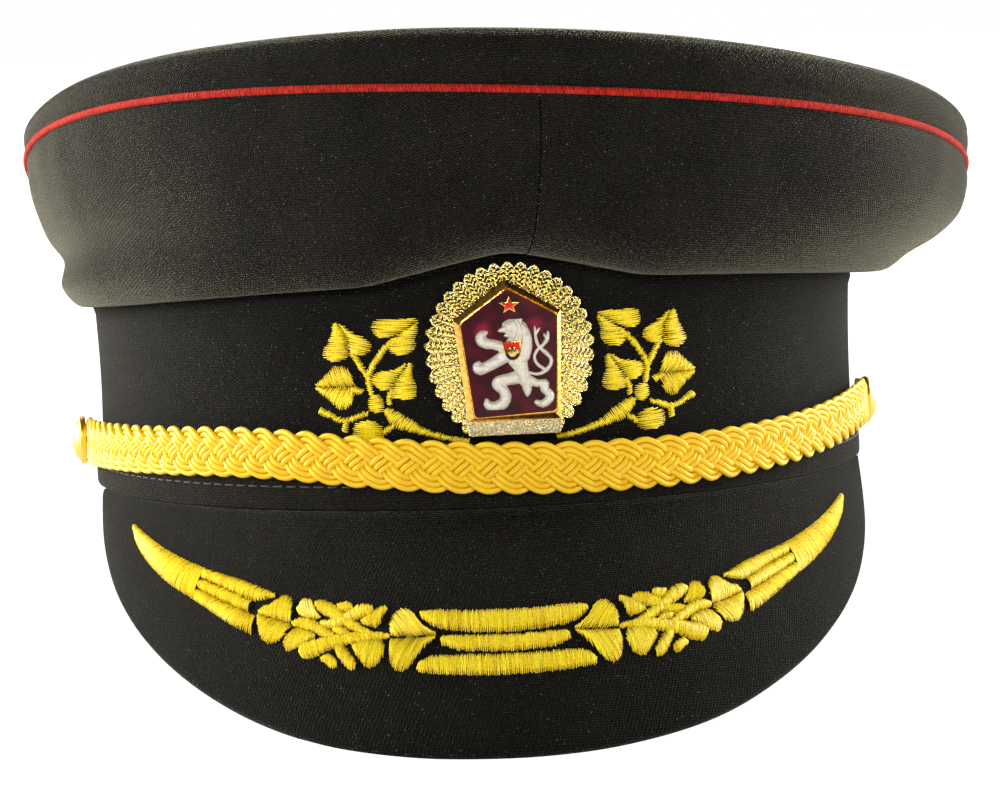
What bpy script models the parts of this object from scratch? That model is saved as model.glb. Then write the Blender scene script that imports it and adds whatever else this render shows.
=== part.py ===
# A peaked dress cap: a stiffened cloth crown with a corded rim, on a head band with a
# woven edge strip, an embroidered peak, a plaited chin cord and a metal badge.
# Metres, +Z up, front towards -Y. It rests on the tip of its peak and the back of its band.

import bpy
import bmesh
from math import atan2, ceil, cos, pi, radians, sin, sqrt, tan
from mathutils import Vector

COLLECTION = "peaked_cap"
GAP = 0.0003                # clearance between touching pieces
FLOOR_FLAT = 0.0005         # how far cloth flattens where it rests

# Head band and its edge strip
BAND_WIDTH = 0.176
BAND_LENGTH = 0.208
BAND_WALL = 0.0026
BAND_HEIGHT = 0.042         # at the sides and back
BAND_FRONT_RISE = 0.002     # broad rise towards the front
GABLE_RISE = 0.0057         # pointed rise behind the badge
GABLE_SPREAD = radians(17)
BAND_WAIST = 0.0006
STRIP_HEIGHT = 0.0085
STRIP_THICKNESS = 0.001
STRIP_FOOT = 0.0008         # fold under the band's lower edge

# Crown
RIM_WIDTH = 0.219
RIM_LENGTH = 0.250
RIM_RIGHT = 0.0065          # the crown sits a little to the wearer's left
RIM_BACK = 0.003
RIM_FRONT_HEIGHT = 0.0804
RIM_SIDE_HEIGHT = 0.0642
RIM_REAR_HEIGHT = 0.055
RIM_PITCH = 0.0274
RIM_ROLL = radians(-3.5)
PIPING_RADIUS = 0.00075
CROWN_WALL = 0.0017
SHOULDER_FRONT = 0.0117
SHOULDER_LEFT = 0.0055
SHOULDER_RIGHT = 0.0078
SHOULDER_REAR = 0.007
SHOULDER_BULGE = 0.0015
TOP_DOME = 0.0025

# Peak
PEAK_REACH = 0.042
PEAK_DROP = 0.0415
PEAK_THICKNESS = 0.0028
PEAK_BULGE = 0.0012
PEAK_SWEEP = radians(74.1)  # band angle where the peak runs out
PEAK_EDGE_SWEEP = radians(86.2)
PEAK_EDGE_POWER = 0.53
PEAK_TURN = radians(2.4)    # sewn on a little to one side

# Embroidery
THREAD_HEIGHT = 0.0009
POINT_WIDTH = 0.0005        # least width of a stitched point

# Chin cord and buttons
CORD_WIDTH = 0.0113
CORD_THICKNESS = 0.0024
CORD_LOBE = 0.00535
CORD_SCALLOP = 0.0007
BUTTON_ANGLE = radians(84)
BUTTON_RADIUS = 0.0055
BUTTON_HEIGHT = 0.0027

# Badge
BADGE_WIDTH = 0.0338
BADGE_HEIGHT = 0.0343
BADGE_LOBES = 31
BADGE_SCALLOP = 0.0006
BADGE_BACK = 0.0009
BADGE_RELIEF = 0.0009
BADGE_BOW = 0.0012
SHIELD_WIDTH = 0.0211
SHIELD_HEIGHT = 0.0278
SHIELD_THICKNESS = 0.0016
SHIELD_FRAME = 0.0013
ENAMEL_THICKNESS = 0.0005
FIGURE_HEIGHT = 0.0006
STAR_RADIUS = 0.0021
CHEST_WIDTH = 0.0036

AROUND = 40                 # sections round the band and crown

MATERIALS = {
    "cloth": ((0.045, 0.042, 0.030), 0.0, 0.9),
    "piping": ((0.60, 0.035, 0.02), 0.0, 0.75),
    "thread": ((0.80, 0.52, 0.03), 0.2, 0.45),
    "plait": ((0.90, 0.52, 0.02), 0.1, 0.45),
    "gilt": ((0.85, 0.66, 0.25), 1.0, 0.25),
    "enamel": ((0.11, 0.008, 0.018), 0.0, 0.12),
    "silver": ((0.80, 0.79, 0.74), 1.0, 0.35),
    "red": ((0.62, 0.03, 0.015), 0.0, 0.2),
}

# Crown side between the band's top and the rim: shares of the way out and of the way up.
SIDE_ROWS = [
    # front out, up; left out, up; right out, up; rear out, up
    (0.25, 0.02, 0.24, -0.08, 0.26, -0.06, 0.42, -0.28),
    (0.56, 0.16, 0.50, 0.05, 0.49, 0.16, 0.83, 0.00),
    (0.80, 0.40, 0.50, 0.26, 0.72, 0.34, 1.00, 0.30),
    (0.95, 0.66, 0.70, 0.50, 0.88, 0.54, 1.04, 0.62),
    (1.00, 0.84, 0.87, 0.77, 0.95, 0.79, 1.02, 0.85),
]

# Shoulder of the top panel: shares of the bulge outwards and of the shoulder's height.
SHOULDER_ROWS = [(0.30, 0.16), (1.00, 0.42), (0.90, 0.68), (0.00, 0.89), (-2.6, 1.00)]
TOP_RINGS = [0.86, 0.62, 0.34]

# Height of the chin cord's centre along its run: angle, share of the edge strip's height.
CORD_RUN = [
    (radians(-92), 1.05), (radians(-84), 1.12), (radians(-60), 1.35), (radians(-40), 1.35),
    (0.0, 0.98), (radians(40), 0.82), (radians(60), 0.82), (radians(84), 1.47),
    (radians(92), 1.55),
]

# Peak embroidery. Each row joins two edges of a stroke: along the peak from its centre and
# across it from the band, as shares of the peak's half sweep and of its width.
HORN = [
    (0.750, 0.250, 0.752, 0.262), (0.690, 0.300, 0.7255, 0.395), (0.6355, 0.338, 0.6735, 0.483),
    (0.5895, 0.358, 0.6185, 0.535), (0.5525, 0.373, 0.5715, 0.559), (0.5245, 0.381, 0.5355, 0.577),
]
HORN_BARS = [
    [(0.535, 0.380, 0.540, 0.437), (0.4725, 0.385, 0.4985, 0.441), (0.4265, 0.401, 0.4405, 0.466),
     (0.4045, 0.416, 0.4015, 0.486), (0.3685, 0.431, 0.3700, 0.440)],
    [(0.535, 0.447, 0.540, 0.494), (0.4725, 0.463, 0.4755, 0.520), (0.4085, 0.491, 0.4185, 0.543)],
    [(0.540, 0.504, 0.545, 0.575), (0.4745, 0.532, 0.4945, 0.602), (0.4235, 0.553, 0.4465, 0.637),
     (0.4055, 0.563, 0.4075, 0.656)],
]
OUTER_LEAF = [
    (0.4030, 0.520, 0.4030, 0.560), (0.3940, 0.500, 0.3940, 0.650), (0.3805, 0.488, 0.3810, 0.676),
    (0.3615, 0.440, 0.3655, 0.660), (0.3485, 0.432, 0.3520, 0.630), (0.3400, 0.460, 0.3410, 0.575),
]
INNER_LEAF = [
    (0.1785, 0.507, 0.1785, 0.640), (0.1695, 0.470, 0.1735, 0.695), (0.1550, 0.446, 0.1590, 0.708),
    (0.1405, 0.458, 0.1430, 0.670), (0.1270, 0.503, 0.1270, 0.625), (0.1050, 0.545, 0.1050, 0.560),
]
SPRIG_LEAVES = [
    [(0.3335, 0.478, 0.3295, 0.516), (0.3245, 0.439, 0.3215, 0.519), (0.3075, 0.440, 0.3110, 0.520),
     (0.2915, 0.507, 0.2915, 0.517)],
    [(0.3525, 0.654, 0.3445, 0.685), (0.3355, 0.592, 0.3315, 0.671), (0.3165, 0.577, 0.3165, 0.636),
     (0.2965, 0.590, 0.2965, 0.600)],
    [(0.2265, 0.507, 0.2265, 0.517), (0.2115, 0.484, 0.2145, 0.524), (0.2000, 0.455, 0.1985, 0.526),
     (0.1850, 0.440, 0.1860, 0.470)],
    [(0.2375, 0.619, 0.2335, 0.637), (0.2225, 0.593, 0.2225, 0.672), (0.2035, 0.580, 0.2075, 0.698),
     (0.1860, 0.592, 0.1860, 0.640)],
]
# Stems of the sprig: points along and across, with their width across.
SPRIG_STEMS = [
    [(0.3395, 0.560, 0.010), (0.325, 0.549, 0.035), (0.305, 0.552, 0.040), (0.270, 0.592, 0.034)],
    [(0.320, 0.672, 0.045), (0.299, 0.655, 0.070), (0.264, 0.610, 0.045), (0.2145, 0.566, 0.030),
     (0.1840, 0.558, 0.014)],
    [(0.3005, 0.458, 0.012), (0.277, 0.474, 0.058), (0.247, 0.518, 0.037), (0.217, 0.556, 0.024)],
    [(0.2045, 0.450, 0.012), (0.2315, 0.475, 0.050), (0.264, 0.530, 0.030), (0.290, 0.548, 0.020)],
    [(0.262, 0.632, 0.030), (0.2535, 0.648, 0.045), (0.232, 0.694, 0.028)],
    [(0.300, 0.505, 0.012), (0.288, 0.550, 0.012)],
    [(0.303, 0.600, 0.012), (0.288, 0.560, 0.012)],
    [(0.220, 0.512, 0.012), (0.234, 0.540, 0.012)],
    [(0.232, 0.628, 0.012), (0.240, 0.585, 0.012)],
]
CENTRE_BARS = {
    "peak_bar_top": [(0.1295, 0.462, 0.1295, 0.480), (0.100, 0.452, 0.100, 0.522),
                     (0.050, 0.456, 0.050, 0.536), (0.0, 0.457, 0.0, 0.541)],
    "peak_bar_middle": [(0.095, 0.553, 0.099, 0.590), (0.067, 0.557, 0.070, 0.612),
                        (0.0, 0.560, 0.0, 0.617)],
    "peak_bar_bottom": [(0.110, 0.632, 0.135, 0.700), (0.060, 0.634, 0.065, 0.706),
                        (0.0, 0.636, 0.0, 0.710)],
}

# Branches beside the badge, in shares of the band's half width along it and of the band's
# height. Leaves run from base to tip with a width; stems are points with widths.
BRANCH_LEAVES = [
    # base along, base up, tip along, tip up, width
    (0.353, 0.752, 0.378, 0.890, 0.108),
    (0.269, 0.774, 0.198, 0.890, 0.092),
    (0.355, 0.574, 0.445, 0.581, 0.099),
    (0.276, 0.543, 0.227, 0.698, 0.100),
    (0.327, 0.417, 0.330, 0.270, 0.072),
]
BRANCH_STEMS = [
    [(0.312, 0.560, 0.018), (0.308, 0.500, 0.034), (0.304, 0.452, 0.018)],
    [(0.304, 0.470, 0.012), (0.261, 0.419, 0.036), (0.199, 0.340, 0.016), (0.108, 0.312, 0.011)],
    [(0.308, 0.520, 0.014), (0.331, 0.636, 0.014), (0.356, 0.765, 0.010)],
    [(0.331, 0.630, 0.012), (0.301, 0.698, 0.012), (0.264, 0.785, 0.010)],
    [(0.322, 0.560, 0.010), (0.362, 0.575, 0.010)],
    [(0.284, 0.455, 0.010), (0.274, 0.560, 0.010)],
    [(0.312, 0.470, 0.009), (0.352, 0.428, 0.009), (0.382, 0.417, 0.009), (0.436, 0.457, 0.016)],
    [(0.383, 0.425, 0.009), (0.386, 0.350, 0.009)],
    [(0.270, 0.405, 0.010), (0.300, 0.355, 0.009), (0.325, 0.350, 0.009)],
]
# Half width of a heart-shaped leaf along its length, tip first: share along, share wide.
LEAF_PROFILE = [(0.00, 0.06), (0.28, 0.34), (0.60, 0.84), (0.92, 1.00), (1.20, 0.50)]

# Lion: points beside and above the badge's centre and widths, as shares of the shield's height.
LION_LIMBS = [
    [(-0.075, 0.130, 0.045), (-0.010, 0.132, 0.115), (0.055, 0.146, 0.100)],
    [(0.030, 0.165, 0.095), (0.070, 0.085, 0.105), (0.058, -0.020, 0.140)],
    [(0.010, 0.030, 0.180), (0.040, -0.105, 0.125), (0.062, -0.220, 0.105)],
    [(-0.050, -0.006, 0.085), (-0.170, 0.045, 0.066), (-0.235, 0.056, 0.058),
     (-0.232, 0.100, 0.058), (-0.200, 0.130, 0.066)],
    [(-0.030, -0.020, 0.100), (-0.165, -0.096, 0.075), (-0.272, -0.120, 0.066)],
    [(0.055, -0.185, 0.100), (-0.085, -0.215, 0.085), (-0.150, -0.245, 0.066),
     (-0.110, -0.322, 0.066), (-0.130, -0.378, 0.075), (-0.225, -0.384, 0.064)],
    [(0.062, -0.205, 0.095), (0.175, -0.250, 0.066), (0.205, -0.310, 0.066),
     (0.215, -0.366, 0.066), (0.125, -0.400, 0.056)],
    [(0.062, -0.220, 0.070), (0.060, -0.282, 0.045), (0.057, -0.336, 0.014)],
    [(0.090, -0.180, 0.036), (0.170, -0.186, 0.034), (0.255, -0.136, 0.034), (0.258, -0.068, 0.034),
     (0.196, 0.004, 0.030), (0.166, 0.074, 0.030), (0.156, 0.150, 0.020)],
    [(0.180, -0.181, 0.030), (0.144, -0.100, 0.030), (0.162, -0.034, 0.030), (0.222, 0.018, 0.030),
     (0.248, 0.060, 0.040), (0.254, 0.102, 0.016)],
]


# Helpers

def mix(a, b, share):
    return a + (b - a) * share


def blend(angle, front, left, right, rear):
    """A value that goes round the cap from front to side to rear."""
    c, s = cos(angle), sin(angle)
    ends = front * max(c, 0.0) ** 2 + rear * max(-c, 0.0) ** 2
    return ends + right * max(s, 0.0) ** 2 + left * max(-s, 0.0) ** 2


def between(table, at):
    """Smooth reading of a table of (place, value) rows."""
    rows = [table[0]] + table + [table[-1]]
    for i in range(1, len(rows) - 2):
        if at <= rows[i + 1][0] or i == len(rows) - 3:
            span = rows[i + 1][0] - rows[i][0]
            share = min(max((at - rows[i][0]) / span, 0.0), 1.0)
            ease = share * share * (3 - 2 * share)
            return mix(rows[i][1], rows[i + 1][1], ease)
    return rows[-1][1]


def rounded(rows, pieces=2):
    """Rows of numbers with points added on a smooth curve through them."""
    full = [rows[0]] + list(rows) + [rows[-1]]
    result = []
    for i in range(1, len(full) - 2):
        for k in range(pieces):
            t = k / pieces
            result.append(tuple(
                0.5 * (2 * b + (c - a) * t + (2 * a - 5 * b + 4 * c - d) * t * t
                       + (3 * b - a - 3 * c + d) * t * t * t)
                for a, b, c, d in zip(*full[i - 1:i + 3])
            ))
    result.append(tuple(rows[-1]))
    return result


def turns(count):
    return [2 * pi * i / count for i in range(count)]


# The cap's surfaces

def band_top(angle):
    """Height of the band's upper edge; angle 0 is the front, and grows to the right."""
    turned = abs(atan2(sin(angle), cos(angle)))
    gable = max(0.0, 1 - turned / GABLE_SPREAD)
    return BAND_HEIGHT + BAND_FRONT_RISE * max(cos(angle), 0.0) ** 2 + GABLE_RISE * gable


def band_point(angle, height, out):
    """A point at a height on the band, a distance out from its cloth."""
    a, b = BAND_WIDTH / 2, BAND_LENGTH / 2
    away = Vector((sin(angle) / a, -cos(angle) / b)).normalized()
    waist = BAND_WAIST * sin(pi * min(max(height / BAND_HEIGHT, 0.0), 1.0))
    return Vector((a * sin(angle) + away.x * (out - waist),
                   -b * cos(angle) + away.y * (out - waist), height))


def rim_point(angle):
    c = cos(angle)
    x = RIM_WIDTH / 2 * sin(angle)
    y = RIM_BACK - RIM_LENGTH / 2 * c
    if c > 0:
        bend = RIM_FRONT_HEIGHT - RIM_SIDE_HEIGHT - RIM_PITCH
    else:
        bend = RIM_REAR_HEIGHT - RIM_SIDE_HEIGHT + RIM_PITCH
    height = RIM_SIDE_HEIGHT + RIM_PITCH * c + bend * c * c + x * tan(RIM_ROLL)
    return Vector((RIM_RIGHT + x, y, height))


STRIP_OUT = GAP + STRIP_THICKNESS


def peak_edge(turn):
    """Lower corner of the peak's outer edge."""
    c = cos(turn)
    half, long = BAND_WIDTH / 2, BAND_LENGTH / 2
    back = 0.192 * long
    lift = 0.313 * PEAK_DROP
    return twisted(Vector((0.942 * half * sin(turn), -back - (long + PEAK_REACH - back) * c,
                           lift - (lift + PEAK_DROP) * max(c, 0.0) ** PEAK_EDGE_POWER)))


def twisted(point):
    """A point of the peak, turned a little about the band's axis."""
    c, s = cos(PEAK_TURN), sin(PEAK_TURN)
    return Vector((point.x * c + point.y * s, point.y * c - point.x * s, point.z))


def root_angle(turn):
    """Band angle where a section of the peak starts."""
    return turn * PEAK_SWEEP / PEAK_EDGE_SWEEP - PEAK_TURN


def peak_frame(turn):
    """Root, edge and upward normal of the peak's upper face."""
    angle = root_angle(turn)
    root = band_point(angle, 0.0, STRIP_OUT + 0.0002)
    root.z = -GAP - 0.0003
    edge = peak_edge(turn)
    away = Vector((sin(angle) / BAND_WIDTH, -cos(angle) / BAND_LENGTH, 0)).normalized()
    run = (edge - root).dot(away)
    slope = min(atan2(root.z - edge.z, run), radians(86))
    normal = away * sin(slope) + Vector((0, 0, cos(slope)))
    return root, edge + normal * PEAK_THICKNESS, normal


def peak_point(turn, share, lift):
    root, edge, normal = peak_frame(turn)
    width = (edge - root).length / (PEAK_REACH + PEAK_DROP)
    swell = PEAK_BULGE * min(1.0, width * 3) * 4 * share * (1 - share)
    return root.lerp(edge, share) + normal * (swell + lift)


def rest_tilt():
    return atan2(PEAK_DROP, BAND_LENGTH + PEAK_REACH + STRIP_OUT)


def settled(point):
    """The point, pushed up to the surface that the cap rests on if it lies below it."""
    up = Vector((0, -sin(rest_tilt()), cos(rest_tilt())))
    sunk = up.dot(peak_edge(0.0)) + FLOOR_FLAT - up.dot(point)
    return point + up * max(0.0, sunk)


# Building

def material(name):
    found = bpy.data.materials.get(name)
    if found:
        return found
    color, metallic, roughness = MATERIALS[name]
    made = bpy.data.materials.new(name)
    made.use_nodes = True
    made.diffuse_color = (*color, 1)
    shader = made.node_tree.nodes["Principled BSDF"]
    shader.inputs["Base Color"].default_value = (*color, 1)
    shader.inputs["Metallic"].default_value = metallic
    shader.inputs["Roughness"].default_value = roughness
    return made


def put(name, mesh, slot, parent):
    obj = bpy.data.objects.new(name, mesh)
    bpy.data.collections[COLLECTION].objects.link(obj)
    mesh.materials.clear()
    mesh.materials.append(material(slot))
    mesh.shade_smooth()
    mesh.set_sharp_from_angle(angle=radians(40))
    obj.parent = parent
    return obj


def skin(name, loops, ring=False, caps=True):
    """A mesh through loops of points; ring joins the last loop to the first."""
    bm = bmesh.new()
    rows = [[bm.verts.new(p) for p in loop] for loop in loops]
    pairs = list(zip(rows, rows[1:])) + ([(rows[-1], rows[0])] if ring else [])
    for lower, upper in pairs:
        for j in range(len(lower)):
            k = (j + 1) % len(lower)
            bm.faces.new((lower[j], lower[k], upper[k], upper[j]))
    if caps and not ring:
        bm.faces.new(rows[0][::-1])
        bm.faces.new(rows[-1])
    if caps:
        bmesh.ops.triangulate(bm, faces=bm.faces)
        bmesh.ops.recalc_face_normals(bm, faces=bm.faces)
        if bm.calc_volume(signed=True) < 0:
            bmesh.ops.reverse_faces(bm, faces=bm.faces)
    mesh = bpy.data.meshes.new(name)
    bm.to_mesh(mesh)
    bm.free()
    return mesh


def shell(name, rings, thickness, slot, parent, closed_top=False, even=True):
    """A cloth wall: an open surface through rings, thickened inwards."""
    mesh = skin(name, rings, caps=False)
    if closed_top:
        bm = bmesh.new()
        bm.from_mesh(mesh)
        bm.verts.ensure_lookup_table()
        bm.faces.new(bm.verts[-len(rings[-1]):])
        bm.to_mesh(mesh)
        bm.free()
    obj = put(name, mesh, slot, parent)
    wall = obj.modifiers.new("wall", "SOLIDIFY")
    wall.thickness = thickness
    wall.offset = -1
    wall.use_even_offset = even
    return obj


def stroke(rows, height, ridged):
    """A raised pad between two edges, flat in chart space; a ridged one stands highest inside."""
    loops = []
    for n, (ax, ay, bx, by) in enumerate(rows):
        a, b = Vector((ax, ay)), Vector((bx, by))
        if (a - b).length < POINT_WIDTH:
            other = rows[1] if n == 0 else rows[n - 1]
            side = Vector((other[0] - other[2], other[1] - other[3])).normalized()
            middle = (a + b) / 2
            a, b = middle + side * POINT_WIDTH / 2, middle - side * POINT_WIDTH / 2
        low = height * (0.5 if ridged else 0.8)
        ridge = [(*((a + b) / 2), height)] if ridged else []
        loops.append([(*a, 0), (*b, 0), (*b, low)] + ridge + [(*a, low)])
    return skin("stroke", loops)


def ribbon(points):
    """Rows of a stroke along points with widths, across the way they run."""
    rows = []
    for i, (x, y, width) in enumerate(points):
        before, after = points[max(i - 1, 0)], points[min(i + 1, len(points) - 1)]
        way = Vector((after[0] - before[0], after[1] - before[1])).normalized()
        side = Vector((-way.y, way.x)) * width / 2
        rows.append((x + side.x, y + side.y, x - side.x, y - side.y))
    return rows


def leaf(base, tip, width):
    """Rows of a heart-shaped leaf whose lobes reach back past its base."""
    axis = base - tip
    side = Vector((-axis.y, axis.x)).normalized() * width / 2
    rows = []
    for along, wide in LEAF_PROFILE:
        middle = tip + axis * along
        rows.append((*(middle + side * wide), *(middle - side * wide)))
    return rows


def joined(meshes):
    """One closed mesh of overlapping ones."""
    scene = bpy.context.scene.collection
    whole = bpy.data.objects.new("whole", meshes[0])
    scene.objects.link(whole)
    others = []
    for n, mesh in enumerate(meshes[1:]):
        other = bpy.data.objects.new("other", mesh)
        other.location.z = -0.00002 * (n % 3 + 1)
        scene.objects.link(other)
        others.append(other)
        union = whole.modifiers.new("union", "BOOLEAN")
        union.operation = "UNION"
        union.object = other
    bpy.context.view_layer.update()
    graph = bpy.context.evaluated_depsgraph_get()
    mesh = bpy.data.meshes.new_from_object(whole.evaluated_get(graph))
    for obj in [whole] + others:
        bpy.data.objects.remove(obj)
    bm = bmesh.new()
    bm.from_mesh(mesh)
    bmesh.ops.remove_doubles(bm, verts=bm.verts, dist=0.000003)
    bmesh.ops.triangulate(bm, faces=bm.faces)
    bm.to_mesh(mesh)
    bm.free()
    return mesh


def relief(name, strokes, height, surface, slot, parent):
    """Strokes joined into one pad and laid on a surface given as a function."""
    meshes = [stroke(rows, height, len(strokes) == 1) for rows in strokes]
    mesh = joined(meshes) if len(meshes) > 1 else meshes[0]
    for vertex in mesh.vertices:
        vertex.co = surface(*vertex.co)
    bm = bmesh.new()
    bm.from_mesh(mesh)
    bmesh.ops.recalc_face_normals(bm, faces=bm.faces)
    if bm.calc_volume(signed=True) < 0:
        bmesh.ops.reverse_faces(bm, faces=bm.faces)
    bm.to_mesh(mesh)
    bm.free()
    return put(name, mesh, slot, parent)


# Pieces

def make_band(parent):
    foot = STRIP_FOOT + GAP
    rings = []
    for share in (0.0, 0.35, 0.7, 1.0):
        rings.append([band_point(t, mix(foot, band_top(t), share), 0.0) for t in turns(AROUND)])
    shell("band", rings, BAND_WALL, "cloth", parent)


def make_band_edge(parent):
    """Woven strip round the band's lower edge, folded under it."""
    outer, inner = STRIP_OUT, GAP
    section = [(outer - 0.0002, 0.0), (outer, 0.0002), (outer, STRIP_HEIGHT - 0.0003),
               (outer - 0.0003, STRIP_HEIGHT), (inner, STRIP_HEIGHT), (inner, STRIP_FOOT),
               (-BAND_WALL, STRIP_FOOT), (-BAND_WALL, 0.0)]
    loops = [[settled(band_point(t, z, out)) for out, z in section] for t in turns(AROUND)]
    put("band_edge", skin("band_edge", loops, ring=True), "cloth", parent)


def make_crown_side(parent):
    clear = PIPING_RADIUS + GAP
    rings = []
    for out in (-BAND_WALL / 2, GAP):
        rings.append([band_point(t, band_top(t) + GAP, out) for t in turns(AROUND)])
    for front_out, front_up, left_out, left_up, right_out, right_up, rear_out, rear_up in SIDE_ROWS:
        ring = []
        for t in turns(AROUND):
            start, rim = band_point(t, band_top(t) + GAP, GAP), rim_point(t)
            out = blend(t, front_out, left_out, right_out, rear_out)
            up = blend(t, front_up, left_up, right_up, rear_up)
            ring.append(Vector((*start.lerp(rim, out).xy, mix(start.z, rim.z - clear, up))))
        rings.append(ring)
    rings.append([rim_point(t) - Vector((0, 0, clear)) for t in turns(AROUND)])
    shell("crown_side", rings, CROWN_WALL, "cloth", parent, even=False)


def top_height(place, ring_share, rim, shoulder):
    """Height of the top panel inside its shoulder: a sloping plane, eased to the rim."""
    front, rear = rim_point(0.0), rim_point(pi)
    share = (place.y - front.y) / (rear.y - front.y)
    plane = mix(front.z + SHOULDER_FRONT, rear.z + SHOULDER_REAR, share)
    plane += (place.x - RIM_RIGHT) * tan(RIM_ROLL)
    left_over = rim.z + shoulder - plane
    return plane + left_over * ring_share ** 2 + TOP_DOME * (1 - ring_share ** 2)


def make_crown_top(parent):
    centre = Vector((RIM_RIGHT, RIM_BACK, 0))
    rings = [[] for _ in range(1 + len(SHOULDER_ROWS) + len(TOP_RINGS))]
    for t in turns(AROUND):
        rim = rim_point(t)
        shoulder = blend(t, SHOULDER_FRONT, SHOULDER_LEFT, SHOULDER_RIGHT, SHOULDER_REAR)
        swell = SHOULDER_BULGE * blend(t, 1.0, 0.0, 0.25, 0.8)
        away = Vector(((rim - centre).xy)).normalized().to_3d()
        rings[0].append(rim + Vector((0, 0, PIPING_RADIUS + GAP)))
        for n, (bulge, up) in enumerate(SHOULDER_ROWS):
            point = rim + away * (swell if bulge > 0 else SHOULDER_BULGE) * bulge
            rings[1 + n].append(point + Vector((0, 0, shoulder * up)))
        for n, share in enumerate(TOP_RINGS):
            place = Vector((*centre.lerp(rim, share).xy, 0))
            flat_rim = Vector((*centre.lerp(rim, 1.0).xy, rim.z))
            place.z = top_height(place, share, rim_at(place, flat_rim, share), shoulder)
            rings[1 + len(SHOULDER_ROWS) + n].append(place)
    shell("crown_top", rings, CROWN_WALL, "cloth", parent, closed_top=True, even=False)


def rim_at(place, rim, share):
    """The rim's height, carried inwards along the top's slope."""
    front, rear = rim_point(0.0), rim_point(pi)
    slope = (rear.z + SHOULDER_REAR - front.z - SHOULDER_FRONT) / (rear.y - front.y)
    drop = (place.y - rim.y) * slope + (place.x - rim.x) * tan(RIM_ROLL)
    return Vector((place.x, place.y, rim.z + drop))


def make_piping(parent):
    curve = bpy.data.curves.new("crown_piping", "CURVE")
    curve.dimensions = "3D"
    curve.bevel_depth = PIPING_RADIUS
    curve.bevel_resolution = 2
    line = curve.splines.new("POLY")
    points = [rim_point(t) for t in turns(AROUND + 8)]
    line.points.add(len(points) - 1)
    for target, point in zip(line.points, points):
        target.co = (*point, 1)
    line.use_cyclic_u = True
    curve.materials.append(material("piping"))
    obj = bpy.data.objects.new("crown_piping", curve)
    bpy.data.collections[COLLECTION].objects.link(obj)
    obj.parent = parent


def make_peak(parent):
    shares = (0.15, 0.4, 0.65, 0.85, 1.0)
    last = PEAK_EDGE_SWEEP * 0.98
    count = 26
    loops = []
    for i in range(count + 1):
        turn = mix(-last, last, i / count)
        tongue = band_point(root_angle(turn), 0.0, -BAND_WALL)
        loop = [tongue - Vector((0, 0, GAP)), peak_point(turn, 0.0, 0.0)]
        loop += [peak_point(turn, share, 0.0) for share in shares]
        loop += [peak_point(turn, share, -PEAK_THICKNESS) for share in reversed(shares)]
        loop.append(tongue - Vector((0, 0, GAP + PEAK_THICKNESS)))
        loops.append([settled(point) for point in loop])
    put("peak", skin("peak", loops), "cloth", parent)


PEAK_CHART = (PEAK_EDGE_SWEEP * (BAND_LENGTH + BAND_WIDTH) / 3, PEAK_REACH + PEAK_THICKNESS)


def on_peak(side):
    """Surface for the peak's embroidery; side -1 or 1, or 1 for a centred piece."""
    def place(x, y, lift):
        turn = side * x / PEAK_CHART[0] * PEAK_EDGE_SWEEP
        return peak_point(turn, y / PEAK_CHART[1], GAP + lift)
    return place


def charted(rows, scale=PEAK_CHART):
    return [tuple(v * scale[i % 2] for i, v in enumerate(row)) for row in rows]


def stems(points):
    """Stem points with widths across the peak, in chart lengths."""
    rows = [(x * PEAK_CHART[0], y * PEAK_CHART[1], w * PEAK_CHART[1]) for x, y, w in points]
    return ribbon(rows)


def make_peak_embroidery(parent):
    for name, half in CENTRE_BARS.items():
        left = [(-a, b, -c, d) for a, b, c, d in half]
        rows = charted(left + [row for row in reversed(half[:-1])])
        relief(name, [rounded(rows, 1)], THREAD_HEIGHT, on_peak(1), "thread", parent)
    for side, word in ((-1, "left"), (1, "right")):
        horn = [rounded(charted(HORN), 1)] + [charted(bar) for bar in HORN_BARS]
        sprig = [charted(rows) for rows in SPRIG_LEAVES] + [stems(p) for p in SPRIG_STEMS]
        for piece, strokes in (
            ("peak_horn", horn),
            ("peak_outer_leaf", [charted(OUTER_LEAF)]),
            ("peak_inner_leaf", [charted(INNER_LEAF)]),
            ("peak_sprig", sprig),
        ):
            relief(piece + "_" + word, strokes, THREAD_HEIGHT, on_peak(side), "thread", parent)


def make_branches(parent):
    half = BAND_WIDTH / 2
    strokes = []
    for base_x, base_y, tip_x, tip_y, width in BRANCH_LEAVES:
        base = Vector((base_x * half, base_y * BAND_HEIGHT))
        tip = Vector((tip_x * half, tip_y * BAND_HEIGHT))
        strokes.append(leaf(base, tip, width * half))
    for points in BRANCH_STEMS:
        rows = [(x * half, y * BAND_HEIGHT, w * half) for x, y, w in points]
        strokes.append(ribbon(rows))
    for side, word in ((-1, "left"), (1, "right")):
        def place(x, y, lift, side=side):
            return band_point(side * x / half, y, GAP + lift)
        relief("branch_" + word, strokes, THREAD_HEIGHT * 0.8, place, "thread", parent)


def cord_height(angle):
    return STRIP_HEIGHT * between(CORD_RUN, angle)


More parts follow.
